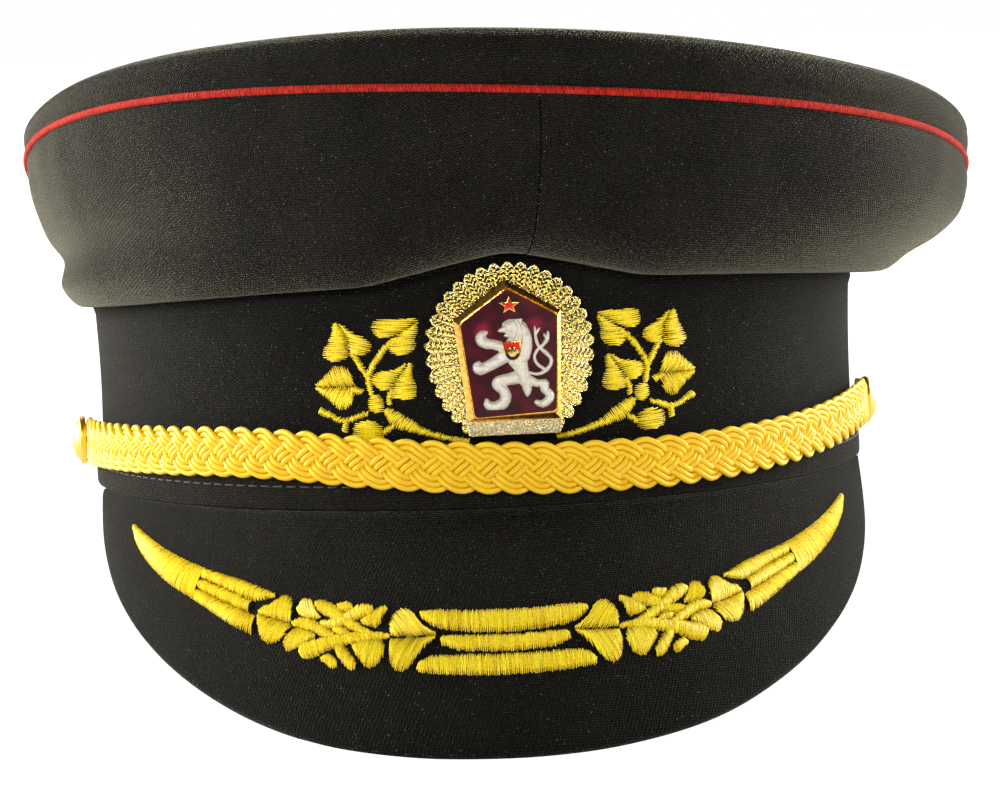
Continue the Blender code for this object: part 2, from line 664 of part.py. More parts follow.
def make_chin_braid(parent):
    """Plaited cord as one lens-shaped band with a scalloped edge and round ends."""
    radius = (BAND_WIDTH + BAND_LENGTH) / 4
    end_radius = CORD_WIDTH / 2 * 1.05
    last = BUTTON_ANGLE + end_radius / radius
    count = 2 * ceil(2 * last * radius / CORD_LOBE)
    back = STRIP_OUT + GAP
    loops = []
    for i in range(count + 1):
        angle = mix(-last, last, i / count)
        half = CORD_WIDTH / 2 - (CORD_SCALLOP if i % 2 else 0.0)
        past = (abs(angle) - BUTTON_ANGLE) * radius
        if past > 0:
            half = sqrt(max(end_radius ** 2 - past ** 2, (end_radius * 0.3) ** 2))
        middle = cord_height(angle)
        section = [(-0.8, 0.0), (0.8, 0.0), (1.0, 0.45), (0.45, 1.0), (-0.45, 1.0), (-1.0, 0.45)]
        loops.append([
            band_point(angle, middle + half * across, back + CORD_THICKNESS * lift)
            for across, lift in section
        ])
    put("chin_braid", skin("chin_braid", loops), "plait", parent)


def make_button(side, word, parent):
    """Domed button, turned about its shank's line."""
    profile = [(0.0, 1.0), (0.35, 0.95), (0.68, 0.78), (0.92, 0.45), (1.0, 0.2), (0.96, 0.0), (0.0, 0.0)]
    mesh = bpy.data.meshes.new("button_" + word)
    points = [(BUTTON_RADIUS * r, 0, BUTTON_HEIGHT * z) for r, z in profile]
    mesh.from_pydata(points, [(i, i + 1) for i in range(len(points) - 1)], [])
    obj = put("button_" + word, mesh, "gilt", parent)
    turned = obj.modifiers.new("turned", "SCREW")
    turned.steps = turned.render_steps = 20
    turned.use_merge_vertices = True
    turned.merge_threshold = 0.00001
    angle = side * BUTTON_ANGLE
    seat = STRIP_OUT + GAP + CORD_THICKNESS + GAP
    obj.location = band_point(angle, cord_height(angle), seat)
    away = Vector((sin(angle) / BAND_WIDTH, -cos(angle) / BAND_LENGTH, 0))
    obj.rotation_euler = away.to_track_quat("Z", "Y").to_euler()


def badge_centre():
    """Height of the badge's centre: the wreath spans from the chin cord to the band's top."""
    return band_top(0.0) - BADGE_HEIGHT / 2 - 0.0012


def badge_point(x, z, depth):
    """A point beside and above the badge's centre, a distance out from the band."""
    bow = BADGE_BOW * (x / (BADGE_WIDTH / 2)) ** 2
    return Vector((x, -BAND_LENGTH / 2 - GAP - depth + bow, badge_centre() + z))


def wreath_outline(share, depth, relief_height):
    """Lobed oval, cut flat at its foot."""
    half, up = BADGE_WIDTH / 2, BADGE_HEIGHT / 2
    down = up * 1.16
    last = pi - 0.535
    loop = []
    samples = BADGE_LOBES * 2
    for i in range(samples + 1):
        angle = mix(-last, last, i / samples)
        crest = i % 2
        size = share - (1 - crest) * BADGE_SCALLOP / half
        tall = up if cos(angle) > 0 else down
        x, z = half * size * sin(angle), max(tall * size * cos(angle), -up * min(share + 0.02, 1.0))
        loop.append(badge_point(x, z, depth + relief_height * crest))
    return loop


def make_wreath(parent):
    top = BADGE_BACK + BADGE_RELIEF
    loops = [wreath_outline(0.45, 0.0, 0.0), wreath_outline(0.97, 0.0, 0.0),
             wreath_outline(1.0, BADGE_BACK * 0.5, 0.0),
             wreath_outline(0.98, BADGE_BACK, 0.0002), wreath_outline(0.80, top - 0.0002, 0.0002),
             wreath_outline(0.45, top - 0.0003, 0.0001)]
    put("badge_wreath", skin("badge_wreath", loops), "gilt", parent)


SHIELD_CORNERS = [(0.0, 0.464), (0.500, 0.218), (0.427, -0.536), (-0.427, -0.536), (-0.500, 0.218)]


def shield_outline(inset, depth):
    """Five-cornered shield, drawn in by a distance all round."""
    wide = (SHIELD_WIDTH - 2 * inset) / SHIELD_WIDTH
    tall = (SHIELD_HEIGHT - 2.3 * inset) / SHIELD_HEIGHT
    return [Vector((x * SHIELD_WIDTH * wide, -BAND_LENGTH / 2 - GAP - depth,
                    badge_centre() + z * SHIELD_HEIGHT * tall)) for x, z in SHIELD_CORNERS]


def shield_back():
    return BADGE_BACK + BADGE_RELIEF + GAP


def make_shield(parent):
    back, front = shield_back(), shield_back() + SHIELD_THICKNESS
    floor = front - ENAMEL_THICKNESS - GAP
    frame = [shield_outline(0.0, back), shield_outline(0.0, front - 0.0003),
             shield_outline(0.0003, front), shield_outline(SHIELD_FRAME, front),
             shield_outline(SHIELD_FRAME, floor)]
    put("badge_shield", skin("badge_shield", frame), "gilt", parent)
    inside = SHIELD_FRAME + GAP
    field = [shield_outline(inside, floor + GAP), shield_outline(inside, front - 0.0001)]
    put("badge_enamel", skin("badge_enamel", field), "enamel", parent)


def on_shield(x, z, lift):
    return Vector((x, -BAND_LENGTH / 2 - 2 * GAP - shield_back() - SHIELD_THICKNESS - lift,
                   badge_centre() + z))


def outline_pad(name, corners, height, base, slot, parent):
    """A thin flat figure on the shield."""
    loops = [[on_shield(x, z, base) for x, z in corners],
             [on_shield(x, z, base + height) for x, z in corners]]
    put(name, skin(name, loops), slot, parent)


def make_figures(parent):
    size = SHIELD_HEIGHT
    limbs = [ribbon(rounded([(x * size, z * size, w * size) for x, z, w in limb], 1))
             for limb in LION_LIMBS]
    relief("badge_lion", limbs, FIGURE_HEIGHT, on_shield, "silver", parent)
    star = []
    for i in range(10):
        reach = STAR_RADIUS * (1.0 if i % 2 == 0 else 0.42)
        star.append((reach * sin(i * pi / 5), 0.293 * size + reach * cos(i * pi / 5)))
    outline_pad("badge_star", star, FIGURE_HEIGHT * 0.6, 0.0, "red", parent)
    half = CHEST_WIDTH / 2
    chest = [(-1.0, 1.1), (1.0, 1.1), (1.0, -0.6), (0.45, -1.1), (-0.45, -1.1), (-1.0, -0.6)]
    corners = [(x * half, 0.005 * size + z * half) for x, z in chest]
    outline_pad("badge_chest_shield", corners, FIGURE_HEIGHT * 0.6, FIGURE_HEIGHT + GAP, "red", parent)


def stand(rest):
    """Tilts the cap to its resting pose and puts the origin under its box's middle."""
    rest.rotation_euler = (-rest_tilt(), 0, 0)
    bpy.context.view_layer.update()
    graph = bpy.context.evaluated_depsgraph_get()
    points = []
    for child in rest.children:
        seen = child.evaluated_get(graph)
        mesh = seen.to_mesh()
        points += [seen.matrix_world @ vertex.co for vertex in mesh.vertices]
        seen.to_mesh_clear()
    low = [min(p[i] for p in points) for i in range(3)]
    high = [max(p[i] for p in points) for i in range(3)]
    rest.location = (-(low[0] + high[0]) / 2, -(low[1] + high[1]) / 2, -low[2])
    bpy.context.view_layer.update()


def main():
    for obj in list(bpy.data.objects):
        bpy.data.objects.remove(obj)
    collection = bpy.data.collections.new(COLLECTION)
    bpy.context.scene.collection.children.link(collection)
    rest = bpy.data.objects.new("rest", None)
    collection.objects.link(rest)
    make_band(rest)
    make_band_edge(rest)
    make_crown_side(rest)
    make_crown_top(rest)
    make_piping(rest)
    make_peak(rest)
    make_peak_embroidery(rest)
    make_branches(rest)
    make_chin_braid(rest)
    make_button(-1, "left", rest)
    make_button(1, "right", rest)
    make_wreath(rest)
    make_shield(rest)
    make_figures(rest)
    stand(rest)


main()
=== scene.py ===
import random
from math import atan2, cos, exp, hypot, pi, radians, sin, sqrt, tan
import bpy
import bmesh
from mathutils import Matrix, Vector, noise


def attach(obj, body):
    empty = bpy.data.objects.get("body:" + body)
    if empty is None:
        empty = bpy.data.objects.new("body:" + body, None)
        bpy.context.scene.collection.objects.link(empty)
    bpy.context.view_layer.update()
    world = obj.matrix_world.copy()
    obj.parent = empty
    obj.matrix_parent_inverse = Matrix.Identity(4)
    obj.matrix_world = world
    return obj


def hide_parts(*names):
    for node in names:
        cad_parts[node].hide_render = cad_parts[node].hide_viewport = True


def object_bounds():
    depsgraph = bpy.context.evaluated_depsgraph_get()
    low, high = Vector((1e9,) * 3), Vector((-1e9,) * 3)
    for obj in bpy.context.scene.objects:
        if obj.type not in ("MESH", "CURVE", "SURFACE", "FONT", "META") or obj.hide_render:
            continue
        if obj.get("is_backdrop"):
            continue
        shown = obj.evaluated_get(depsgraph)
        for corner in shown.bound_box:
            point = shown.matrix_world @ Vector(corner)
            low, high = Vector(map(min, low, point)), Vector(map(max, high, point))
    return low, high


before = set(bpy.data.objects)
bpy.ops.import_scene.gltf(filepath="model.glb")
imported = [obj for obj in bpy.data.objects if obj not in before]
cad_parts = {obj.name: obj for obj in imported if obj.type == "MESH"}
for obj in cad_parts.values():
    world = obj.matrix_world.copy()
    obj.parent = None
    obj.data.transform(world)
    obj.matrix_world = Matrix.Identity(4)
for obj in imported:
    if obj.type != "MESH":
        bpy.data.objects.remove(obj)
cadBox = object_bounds()
print("frame loaded:", len(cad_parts), "solids")

mm = 0.001
chance = random.Random(7)

capForm = {
    "tilt": 0.16366413,  # the cap leans back on its peak's tip
    "place": (-0.0060185, 0.0076155, 0.0166779),
    "gap": 0.0003,
    "bandWidth": 0.176, "bandLength": 0.208, "bandWall": 0.0026, "bandHeight": 0.042,
    "frontRise": 0.002, "gableRise": 0.0057, "gableSpread": radians(17), "waist": 0.0006,
    "stripOut": 0.0013, "stripHeight": 0.0085, "stripFoot": 0.0008,
    "rimWidth": 0.219, "rimLength": 0.250, "rimRight": 0.0065, "rimLeft": 0.989, "rimBack": 0.003,
    "rimFront": 0.0804, "rimSide": 0.0642, "rimRear": 0.055, "rimPitch": 0.0274, "rimRoll": radians(-3.5),
}
restPlace = Matrix.Translation(capForm["place"]) @ Matrix.Rotation(-capForm["tilt"], 4, "X")


def mix(a, b, share):
    return a + (b - a) * share


def smooth(low, high, value):
    t = min(max((value - low) / (high - low), 0.0), 1.0)
    return t * t * (3 - 2 * t)


def goRound(angle, front, left, right, rear):
    c, s = cos(angle), sin(angle)
    ends = front * max(c, 0.0) ** 2 + rear * max(-c, 0.0) ** 2
    return ends + right * max(s, 0.0) ** 2 + left * max(-s, 0.0) ** 2


def curved(rows, pieces):
    full = [rows[0]] + list(rows) + [rows[-1]]
    result = []
    for i in range(1, len(full) - 2):
        for k in range(pieces):
            t = k / pieces
            result.append(tuple(
                0.5 * (2 * b + (c - a) * t + (2 * a - 5 * b + 4 * c - d) * t * t
                       + (3 * b - a - 3 * c + d) * t * t * t)
                for a, b, c, d in zip(*full[i - 1:i + 3])))
    result.append(tuple(rows[-1]))
    return result


def reading(table, at, bend=True):
    for (a, low), (b, high) in zip(table, table[1:]):
        if at <= b:
            share = min(max((at - a) / (b - a), 0.0), 1.0)
            return mix(low, high, smooth(0, 1, share) if bend else share)
    return table[-1][1]


# Shader maths: a wire is one socket, and sums on wires add their Math nodes.

class Wire:
    def __init__(self, tree, socket=None):
        self.tree, self.socket = tree, socket

    def add(self, kind, settings=None, values=None, out=0):
        node = self.tree.nodes.new("ShaderNode" + kind)
        for key, value in (settings or {}).items():
            if key == "stops":
                ramp = node.color_ramp.elements
                while len(ramp) < len(value):
                    ramp.new(0.5)
                for stop, (at, tone) in zip(ramp, value):
                    stop.position, stop.color = at, (*tone, 1)
            else:
                setattr(node, key, value)
        for key, value in (values or {}).items():
            if isinstance(value, Wire):
                self.tree.links.new(value.socket, node.inputs[key])
            else:
                node.inputs[key].default_value = value
        return Wire(self.tree, node.outputs[out])

    def sum(self, operation, *others):
        return self.add("Math", {"operation": operation}, dict(enumerate((self,) + others)))

    def __add__(self, other):
        return self.sum("ADD", other)

    __radd__ = __add__

    def __sub__(self, other):
        return self.sum("SUBTRACT", other)

    def __rsub__(self, other):
        return self.add("Math", {"operation": "SUBTRACT"}, {0: other, 1: self})

    def __mul__(self, other):
        return self.sum("MULTIPLY", other)

    __rmul__ = __mul__

    def wave(self):
        return 0.5 + 0.5 * (self * (2 * pi)).sum("SINE")

    def eased(self, low, high):
        return self.add("MapRange", {"interpolation_type": "SMOOTHSTEP"}, {0: self, 1: low, 2: high})

    def tones(self, a, b):  # colour between two, with this wire as the share
        return self.add("Mix", {"data_type": "RGBA"}, {0: self, 6: a, 7: b}, 2)

    def speckle(self, size, detail=2.0, rough=0.5):  # noise with features of about this many millimetres
        values = {"Vector": self, "Scale": 1 / size, "Detail": detail, "Roughness": rough}
        return self.add("TexNoise", None, values)

    def part(self, index):
        return self.add("SeparateXYZ", None, {0: self}, index)

    def bump(self, strength, depth):
        return self.add("Bump", None, {"Height": self, "Strength": strength, "Distance": depth})


def finish(name, constants):
    made = bpy.data.materials.new(name)
    made.use_nodes = True
    shader = made.node_tree.nodes["Principled BSDF"]
    for key, value in constants.items():
        shader.inputs[key].default_value = value
    wire = Wire(made.node_tree)
    run = wire.add("UVMap", {"uv_map": "run"})  # millimetres along and across the cloth or cord

    def feed(socket, source):
        made.node_tree.links.new(source.socket, shader.inputs[socket])
    return made, run, feed


def tone(r, g, b):
    return (r, g, b, 1.0)


clothLook = {
    "dark": tone(0.0008, 0.0007, 0.0005), "light": tone(0.044, 0.039, 0.028), "fleck": tone(0.18, 0.17, 0.14),
    "wale": 0.80, "thread": 0.56, "ribs": 0.26,
    "sheen": 0.50, "sheenTint": tone(0.90, 0.86, 0.62), "sheenRoughness": 0.21,
}


def wovenCloth(name, slant=1.0, lift=1.0, sheen=1.0):
    look = clothLook
    made, run, feed = finish(name, {
        "Roughness": 0.95, "Specular IOR Level": 0.10, "Sheen Weight": look["sheen"] * sheen,
        "Sheen Roughness": look["sheenRoughness"], "Sheen Tint": look["sheenTint"]})
    u, v = run.part(0), run.part(1)
    wander = run.speckle(5.0) * 0.35
    yarns = 1 / look["thread"]
    wale = ((u + v * slant) * (1 / look["wale"]) + wander).wave()
    weft = (v * yarns + wander).wave()
    warp = (u * yarns + wander).wave()
    across = v.add("CombineXYZ", None, {0: u * 0.45, 1: v, 2: 0.0}).speckle(0.34, 2.0, 0.6).eased(0.34, 0.66)
    upright = v.add("CombineXYZ", None, {0: u, 1: v * 0.45, 2: 3.0}).speckle(0.34, 2.0, 0.6).eased(0.34, 0.66)
    weave = weft * across * 0.5 + warp * upright * 0.3 + wale * look["ribs"]
    patchy = run.speckle(14.0, 3.0)
    # lift scales the cloth's colour; the band and peak copies lower it as painted shade
    shade = (weave * 0.95 + patchy * 0.35 - 0.22) * lift
    flecks = run.speckle(0.45, 1.0).eased(0.66, 0.74) * run.speckle(2.3, 1.0).eased(0.42, 0.66)
    feed("Base Color", (flecks * 0.7).tones(shade.tones(look["dark"], look["light"]), look["fleck"]))
    feed("Normal", weave.bump(1.0, 0.00024))
    return made


pipingLook = {"deep": tone(0.14, 0.004, 0.003), "bright": tone(0.60, 0.026, 0.014), "rib": 0.72}


def pipingCloth():
    made, run, feed = finish("redPiping", {
        "Roughness": 0.85, "Specular IOR Level": 0.12,
        "Sheen Weight": 0.12, "Sheen Tint": tone(1.0, 0.35, 0.25)})
    ribs = (run.part(0) * (1 / pipingLook["rib"]) + run.part(1) * 0.9).wave()
    shade = ribs * 0.35 + run.speckle(0.6, 3.0).eased(0.3, 0.7) * 0.65
    feed("Base Color", shade.tones(pipingLook["deep"], pipingLook["bright"]))
    feed("Normal", shade.bump(0.9, 0.00030))
    return made


threadLook = [(0.0, (0.13, 0.04, 0.001)), (0.42, (0.76, 0.46, 0.006)), (1.0, (1.0, 0.88, 0.03))]


def goldThread():
    made, run, feed = finish("goldThread", {"Roughness": 0.42, "Specular IOR Level": 0.32})
    # hue holds each thread's own tone, lowered towards the thread's ends as painted shade
    hue = run.add("Attribute", {"attribute_name": "hue"}, None, 2)
    strand = (run.part(0) * 3.2 + run.part(1) * 0.6).wave()  # the fine plies of one thread
    shade = hue + strand * 0.12 + run.speckle(0.42, 2.0).eased(0.28, 0.72) * 0.62 - 0.28
    feed("Base Color", shade.add("ValToRGB", {"stops": threadLook}, {0: shade}))
    feed("Roughness", 0.34 + strand * 0.14)
    feed("Normal", strand.bump(0.4, 0.00006))
    return made


cordLook = {"deep": tone(0.76, 0.38, 0.003), "bright": tone(1.0, 0.71, 0.012), "wrap": 0.28}


def gimpCord():
    made, run, feed = finish("gimpCord", {"Roughness": 0.4, "Specular IOR Level": 0.5})
    wrap = (run.part(0) * (1 / cordLook["wrap"]) + run.part(1) * 1.0).wave()
    shade = run.speckle(2.6) * 0.8 + wrap * 0.18 + 0.05
    feed("Base Color", shade.tones(cordLook["deep"], cordLook["bright"]))
    feed("Roughness", 0.36 + run.speckle(1.4) * 0.14)
    feed("Normal", wrap.bump(0.35, 0.00005))
    return made


def metal(name, dull, bright, roughness, grain, depth=0.00003):
    made, run, feed = finish(name, {"Metallic": 1.0, "Specular IOR Level": 0.5})
    speck = run.speckle(grain, 3.0, 0.6).eased(0.34, 0.64)
    feed("Base Color", speck.tones(dull, bright))
    feed("Roughness", roughness + run.speckle(grain * 3) * roughness)
    feed("Normal", speck.bump(0.5, depth))
    return made


def satinSilver():
    made, run, feed = finish("satinSilver", {"Metallic": 0.35, "Specular IOR Level": 0.4})
    speck = run.speckle(0.6, 3.0)
    feed("Base Color", speck.tones(tone(0.58, 0.53, 0.42), tone(0.86, 0.82, 0.70)))
    feed("Roughness", 0.42 + speck * 0.2)
    feed("Normal", run.speckle(0.25, 2.0).bump(0.4, 0.00006))
    return made


def enamel(name, deep, bright, paintedGlints=()):
    made, run, feed = finish(name, {"Roughness": 0.30, "Coat Weight": 0.6, "Coat Roughness": 0.05,
                                    "Specular IOR Level": 0.3})
    cloud = run.speckle(3.5, 3.0).eased(0.35, 0.7)
    shade = cloud.tones(deep, bright)
    for x, z in paintedGlints:  # painted highlights: round each spot the colour turns pink, standing in for the lamps' glints on the domed enamel
        away = run.add("VectorMath", {"operation": "DISTANCE"}, {0: run, 1: (x, z, 0.0)}, 1)
        paintedGlint = (1 - away.eased(0.2, 2.6)) * (0.35 + cloud * 0.6)
        shade = paintedGlint.tones(shade, tone(0.30, 0.008, 0.05))
    feed("Base Color", shade)
    feed("Normal", run.speckle(1.6).bump(0.12, 0.00008))
    return made


def threadAndSeamShadow():
    made, run, feed = finish("threadAndSeamShadow", {"Roughness": 0.7, "Specular IOR Level": 0.3, "Sheen Weight": 0.2})
    ply = (run.part(0) * 2.5 + run.part(1) * 1.2).wave()
    feed("Base Color", ply.tones(tone(0.045, 0.038, 0.028), tone(0.15, 0.13, 0.10)))
    feed("Normal", ply.bump(0.4, 0.00008))
    return made


finishes = {
    # painted shade: the band and the peak are darker copies of the crown's cloth, lift 0.42 and 0.44 against
    # 0.8
    "cloth": wovenCloth("capCloth", 1.0, 0.8, 1.25),
    "shadedBandCloth": wovenCloth("shadedBandCloth", 1.0, 0.42, 0.30),
    "shadedPeakCloth": wovenCloth("shadedPeakCloth", 0.35, 0.44, 0.28),
    "stripCloth": wovenCloth("stripCloth", -1.0, 0.8, 0.25),
    "piping": pipingCloth(),
    # painted shadow: near black cloth without sheen, for the tubes laid in the crown's seams
    "paintedSeamShadow": wovenCloth("paintedSeamShadow", 1.0, 0.15, 0.0),
    "threadAndSeamShadow": threadAndSeamShadow(),
    "thread": goldThread(),
    "plait": gimpCord(),
    "gilt": metal("giltMetal", tone(0.80, 0.42, 0.07), tone(0.98, 0.60, 0.15), 0.12, 0.9),
    "paleGilt": metal("paleGilt", tone(0.80, 0.62, 0.20), tone(1.0, 0.87, 0.40), 0.05, 0.35, 0.00001),
    "buttonGilt": metal("buttonGilt", tone(0.92, 0.50, 0.08), tone(1.0, 0.68, 0.14), 0.26, 0.5),
    "stipple": metal("stippledGilt", tone(0.66, 0.50, 0.20), tone(1.0, 0.92, 0.58), 0.18, 0.42, 0.0005),
    "silver": satinSilver(),
    # the wine enamel gets painted highlights: pink patches at these two spots
    "enamel": enamel("wineEnamel", tone(0.034, 0.0015, 0.004), tone(0.085, 0.003, 0.010),
                     [(-5.6, 34.9), (5.0, 35.6)]),
    "red": enamel("redEnamel", tone(0.58, 0.008, 0.004), tone(0.85, 0.022, 0.008)),
    "blue": enamel("blueEnamel", tone(0.008, 0.014, 0.045), tone(0.016, 0.026, 0.075)),
}
print("materials made:", len(finishes))


# Meshes

def placed(name, data):
    made = bpy.data.objects.new(name, data)
    bpy.context.scene.collection.objects.link(made)
    return made


def piece(name, mesh, finishName, slot, *nodes):
    mesh.materials.append(finishes[finishName])
    made = placed(name, mesh)
    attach(made, "root")
    if nodes:
        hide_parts(*nodes)
    return made


def woven(name, parts, sharp=50):  # parts: rows of points, uv function, closed round, closed rows, hue
    verts, faces, uvs, huesAndEndShade = [], [], [], []
    for rows, uvOf, roundClosed, rowsClosed, hue in parts:
        first, high, wide = len(verts), len(rows), len(rows[0])
        verts += [restPlace @ p for row in rows for p in row]
        for i in range(high if rowsClosed else high - 1):
            for j in range(wide if roundClosed else wide - 1):
                k, l = (i + 1) % high, (j + 1) % wide
                corners = (i * wide + j, i * wide + l, k * wide + l, k * wide + j)
                faces.append(tuple(first + n for n in corners))
                uvs += [uvOf(i, j), uvOf(i, j + 1), uvOf(i + 1, j + 1), uvOf(i + 1, j)]
                # painted shade: each strand's faces darken towards its two ends, where the thread arches down
                # into the cloth
                huesAndEndShade.append((hue or 0.0) - 0.26 * abs((2 * i + 1) / max(high - 1, 1) - 1) ** 3)
        if roundClosed and not rowsClosed and hue is not None:  # a strand's ends
            for row, order in ((0, range(wide)), (high - 1, range(wide - 1, -1, -1))):
                faces.append(tuple(first + row * wide + j for j in order))
                uvs += [uvOf(row, j) for j in order]
        huesAndEndShade += [hue or 0.0] * (len(faces) - len(huesAndEndShade))
    mesh = bpy.data.meshes.new(name)
    mesh.from_pydata(verts, [], faces)
    layer = mesh.uv_layers.new(name="run")
    layer.data.foreach_set("uv", [value for uv in uvs for value in uv])
    shade = mesh.attributes.new("hue", "FLOAT", "FACE")
    shade.data.foreach_set("value", huesAndEndShade)
    bm = bmesh.new()
    bm.from_mesh(mesh)
    bmesh.ops.recalc_face_normals(bm, faces=bm.faces)
    bm.to_mesh(mesh)
    bm.free()
    mesh.shade_smooth()
    mesh.set_sharp_from_angle(angle=radians(sharp))
    return mesh


def lengthsAlong(points):
    total, result = 0.0, [0.0]
    for a, b in zip(points, points[1:]):
        total += (b - a).length / mm
        result.append(total)
    return result


def ringOf(middle, side, up, size, sides):
    turns = [2 * pi * j / sides for j in range(sides)]
    return [middle + side * (size * cos(t)) + up * (size * sin(t)) for t in turns]


def tube(points, normals, radius, sides):
    rows = []
    for i, (p, up) in enumerate(zip(points, normals)):
        ahead = points[min(i + 1, len(points) - 1)] - points[max(i - 1, 0)]
        size = radius[i] if isinstance(radius, list) else radius
        rows.append(ringOf(p, ahead.cross(up).normalized(), up, size, sides))
    return rows


def asRows(columns):
    return [list(row) for row in zip(*columns)]


def thicken(made, thick):  # the wall grows to the inside, whichever way the faces look
    mesh = made.data
    middle = sum((v.co for v in mesh.vertices), Vector()) / len(mesh.vertices)
    vote = sum((f.center - middle).dot(f.normal) for f in mesh.polygons)
    wall = made.modifiers.new("wall", "SOLIDIFY")
    wall.thickness, wall.offset = thick, -1 if vote > 0 else 1


# The cap's surfaces, as the solids have them

def bandTop(angle):
    f = capForm
    turned = abs(atan2(sin(angle), cos(angle))) / f["gableSpread"]
    gable = 1.06 - sqrt(turned * turned + 0.012)
    gable = 0.5 * (gable + sqrt(gable * gable + 0.006))
    return f["bandHeight"] + f["frontRise"] * max(cos(angle), 0.0) ** 2 + f["gableRise"] * gable


def bandAway(angle):
    return Vector((sin(angle) / capForm["bandWidth"], -cos(angle) / capForm["bandLength"], 0)).normalized()


def bandPoint(angle, height, out):
    f = capForm
    waist = f["waist"] * sin(pi * min(max(height / f["bandHeight"], 0.0), 1.0))
    away = bandAway(angle)
    on = Vector((f["bandWidth"] / 2 * sin(angle), -f["bandLength"] / 2 * cos(angle), height))
    return on + away * (out - waist)


def rimPoint(angle):
    f = capForm
    c = cos(angle)
    x = f["rimWidth"] / 2 * sin(angle)
    x *= 1.0 if x > 0 else f["rimLeft"]
    if c > 0:
        bend = f["rimFront"] - f["rimSide"] - f["rimPitch"]
    else:
        bend = f["rimRear"] - f["rimSide"] + f["rimPitch"]
    height = f["rimSide"] + f["rimPitch"] * c + bend * c * c + x * tan(f["rimRoll"])
    return Vector((f["rimRight"] + x, f["rimBack"] - f["rimLength"] / 2 * c, height))


def anglesRound(count, seams):  # even steps, with finer ones beside each seam
    found = [2 * pi * i / count for i in range(count)]
    for at in seams:
        for d in (0.03, 0.07, 0.12, 0.2, 0.3, 0.45, 0.7, 1.0):
            found += [(at + radians(d)) % (2 * pi), (at - radians(d)) % (2 * pi)]
    return sorted(found)


def seamDip(distance, depth):  # a sewn seam: a narrow furrow between two soft ridges
    ridges = 0.07 * exp(-((abs(distance) - 0.0012) / 0.0009) ** 2)
    return depth * (ridges - exp(-(distance / 0.0002) ** 2))


def angleFrom(angle, seam):
    return atan2(sin(angle - seam), cos(angle - seam))


crownCloth = {
    "wall": 0.0016, "around": 252, "perTurn": 114.0, "rowsPerSpan": 8, "wave": 0.0005, "waveSize": 0.034,
    "seamDepth": 0.0005,
    # the seam tube's radius sets the width of the dark line painted as each seam's shadow
    "seamAtBand": 2.2, "seamAtRim": -0.2, "seams": (0.0, pi), "seamLift": 0.00032, "threadAndSeamShadow": 0.00017,
    "pipingRoom": 0.00075, "pipingRadius": 0.00078,
    "tuck": 0.0006,  # how far each cloth edge runs on into the piping
    "sideRows": [
        # front out, up; left out, up; right out, up; rear out, up
        (0.25, 0.02, 0.27, -0.06, 0.26, -0.065, 0.42, -0.28),
        (0.56, 0.16, 0.54, 0.09, 0.47, 0.11, 0.83, 0.00),
        (0.80, 0.40, 0.48, 0.28, 0.72, 0.29, 1.00, 0.30),
        (0.95, 0.66, 0.76, 0.49, 0.915, 0.52, 1.04, 0.62),
        (1.00, 0.84, 0.955, 0.78, 0.99, 0.80, 1.02, 0.85),
    ],
    "shoulders": (0.0117, 0.0055, 0.0078, 0.007), "bulge": 0.0015, "dome": 0.0025,
    "shoulderRows": [(0.30, 0.14), (1.00, 0.42), (0.90, 0.68), (0.00, 0.89), (-2.6, 1.00)],
    "topRings": [0.86, 0.62, 0.34, 0.15, 0.004],
}


def buildCrownSide():
    c, gap = crownCloth, capForm["gap"]
    clear = c["pipingRoom"] + gap
    angles = anglesRound(c["around"], c["seams"])
    columns, seams = [], []
    for a in angles:
        seamPull = radians(1.0) * exp(-(angleFrom(a, 0.0) / radians(24)) ** 2)
        low, high = a + seamPull * c["seamAtBand"], a + seamPull * c["seamAtRim"]
        start, rim = bandPoint(low, bandTop(low) + gap, gap), rimPoint(high)
        line = [bandPoint(low, bandTop(low) + gap, -capForm["bandWall"] / 2), start]
        for fo, fu, lo, lu, ro, ru, bo, bu in c["sideRows"]:
            out, up = goRound(low, fo, lo, ro, bo), goRound(low, fu, lu, ru, bu)
            flat = start.lerp(rim, out)
            line.append(Vector((flat.x, flat.y, mix(start.z, rim.z - clear, up))))
        line.append(rim - Vector((0, 0, clear - c["tuck"])))
        column = [Vector(p) for p in curved([tuple(p) for p in line], c["rowsPerSpan"])]
        away = bandAway(a)
        last = len(column) - 1
        for i, p in enumerate(column):
            share = i / last
            calm = smooth(0.0, 0.35, share) * (1 - smooth(0.93, 1.0, share))
            wave = c["wave"] * 2 * noise.noise(p / c["waveSize"]) * calm
            pull = 0.00025 * noise.noise(Vector((a * 14, share * 2.0, 3.0))) * smooth(0.5, 0.95, share)
            furrow = sum(seamDip(angleFrom(a, at) * 0.118, c["seamDepth"]) for at in c["seams"])
            furrow *= smooth(0.10, 0.2, share)
            column[i] = p + away * (wave + pull + furrow)
        # painted shadow: a dark tube runs along each seam's furrow, standing in for the furrow's shadow
        if min(abs(angleFrom(a, at)) for at in c["seams"]) < 1e-6:
            path = [p + away * c["seamLift"] for p in column[c["rowsPerSpan"]:-2]]
            line = tube(path, [away] * len(path), c["threadAndSeamShadow"], 6)
            seams.append((line, lambda i, j: (i * 1.2, j * 0.2), True, False, 0.0))
        columns.append(column)
    runs = [lengthsAlong(column) for column in columns]
    wide = len(angles)

    def uvOf(i, j):
        return ((angles[j % wide] + 2 * pi * (j // wide)) * c["perTurn"], runs[j % wide][i])
    piece("crownSeamShadow", woven("crownSeamShadow", seams), "paintedSeamShadow", "cloth")
    mesh = woven("crownSide", [(asRows(columns), uvOf, True, False, None)])
    thicken(piece("crownSide", mesh, "cloth", "cloth", "crown_side"), c["wall"])


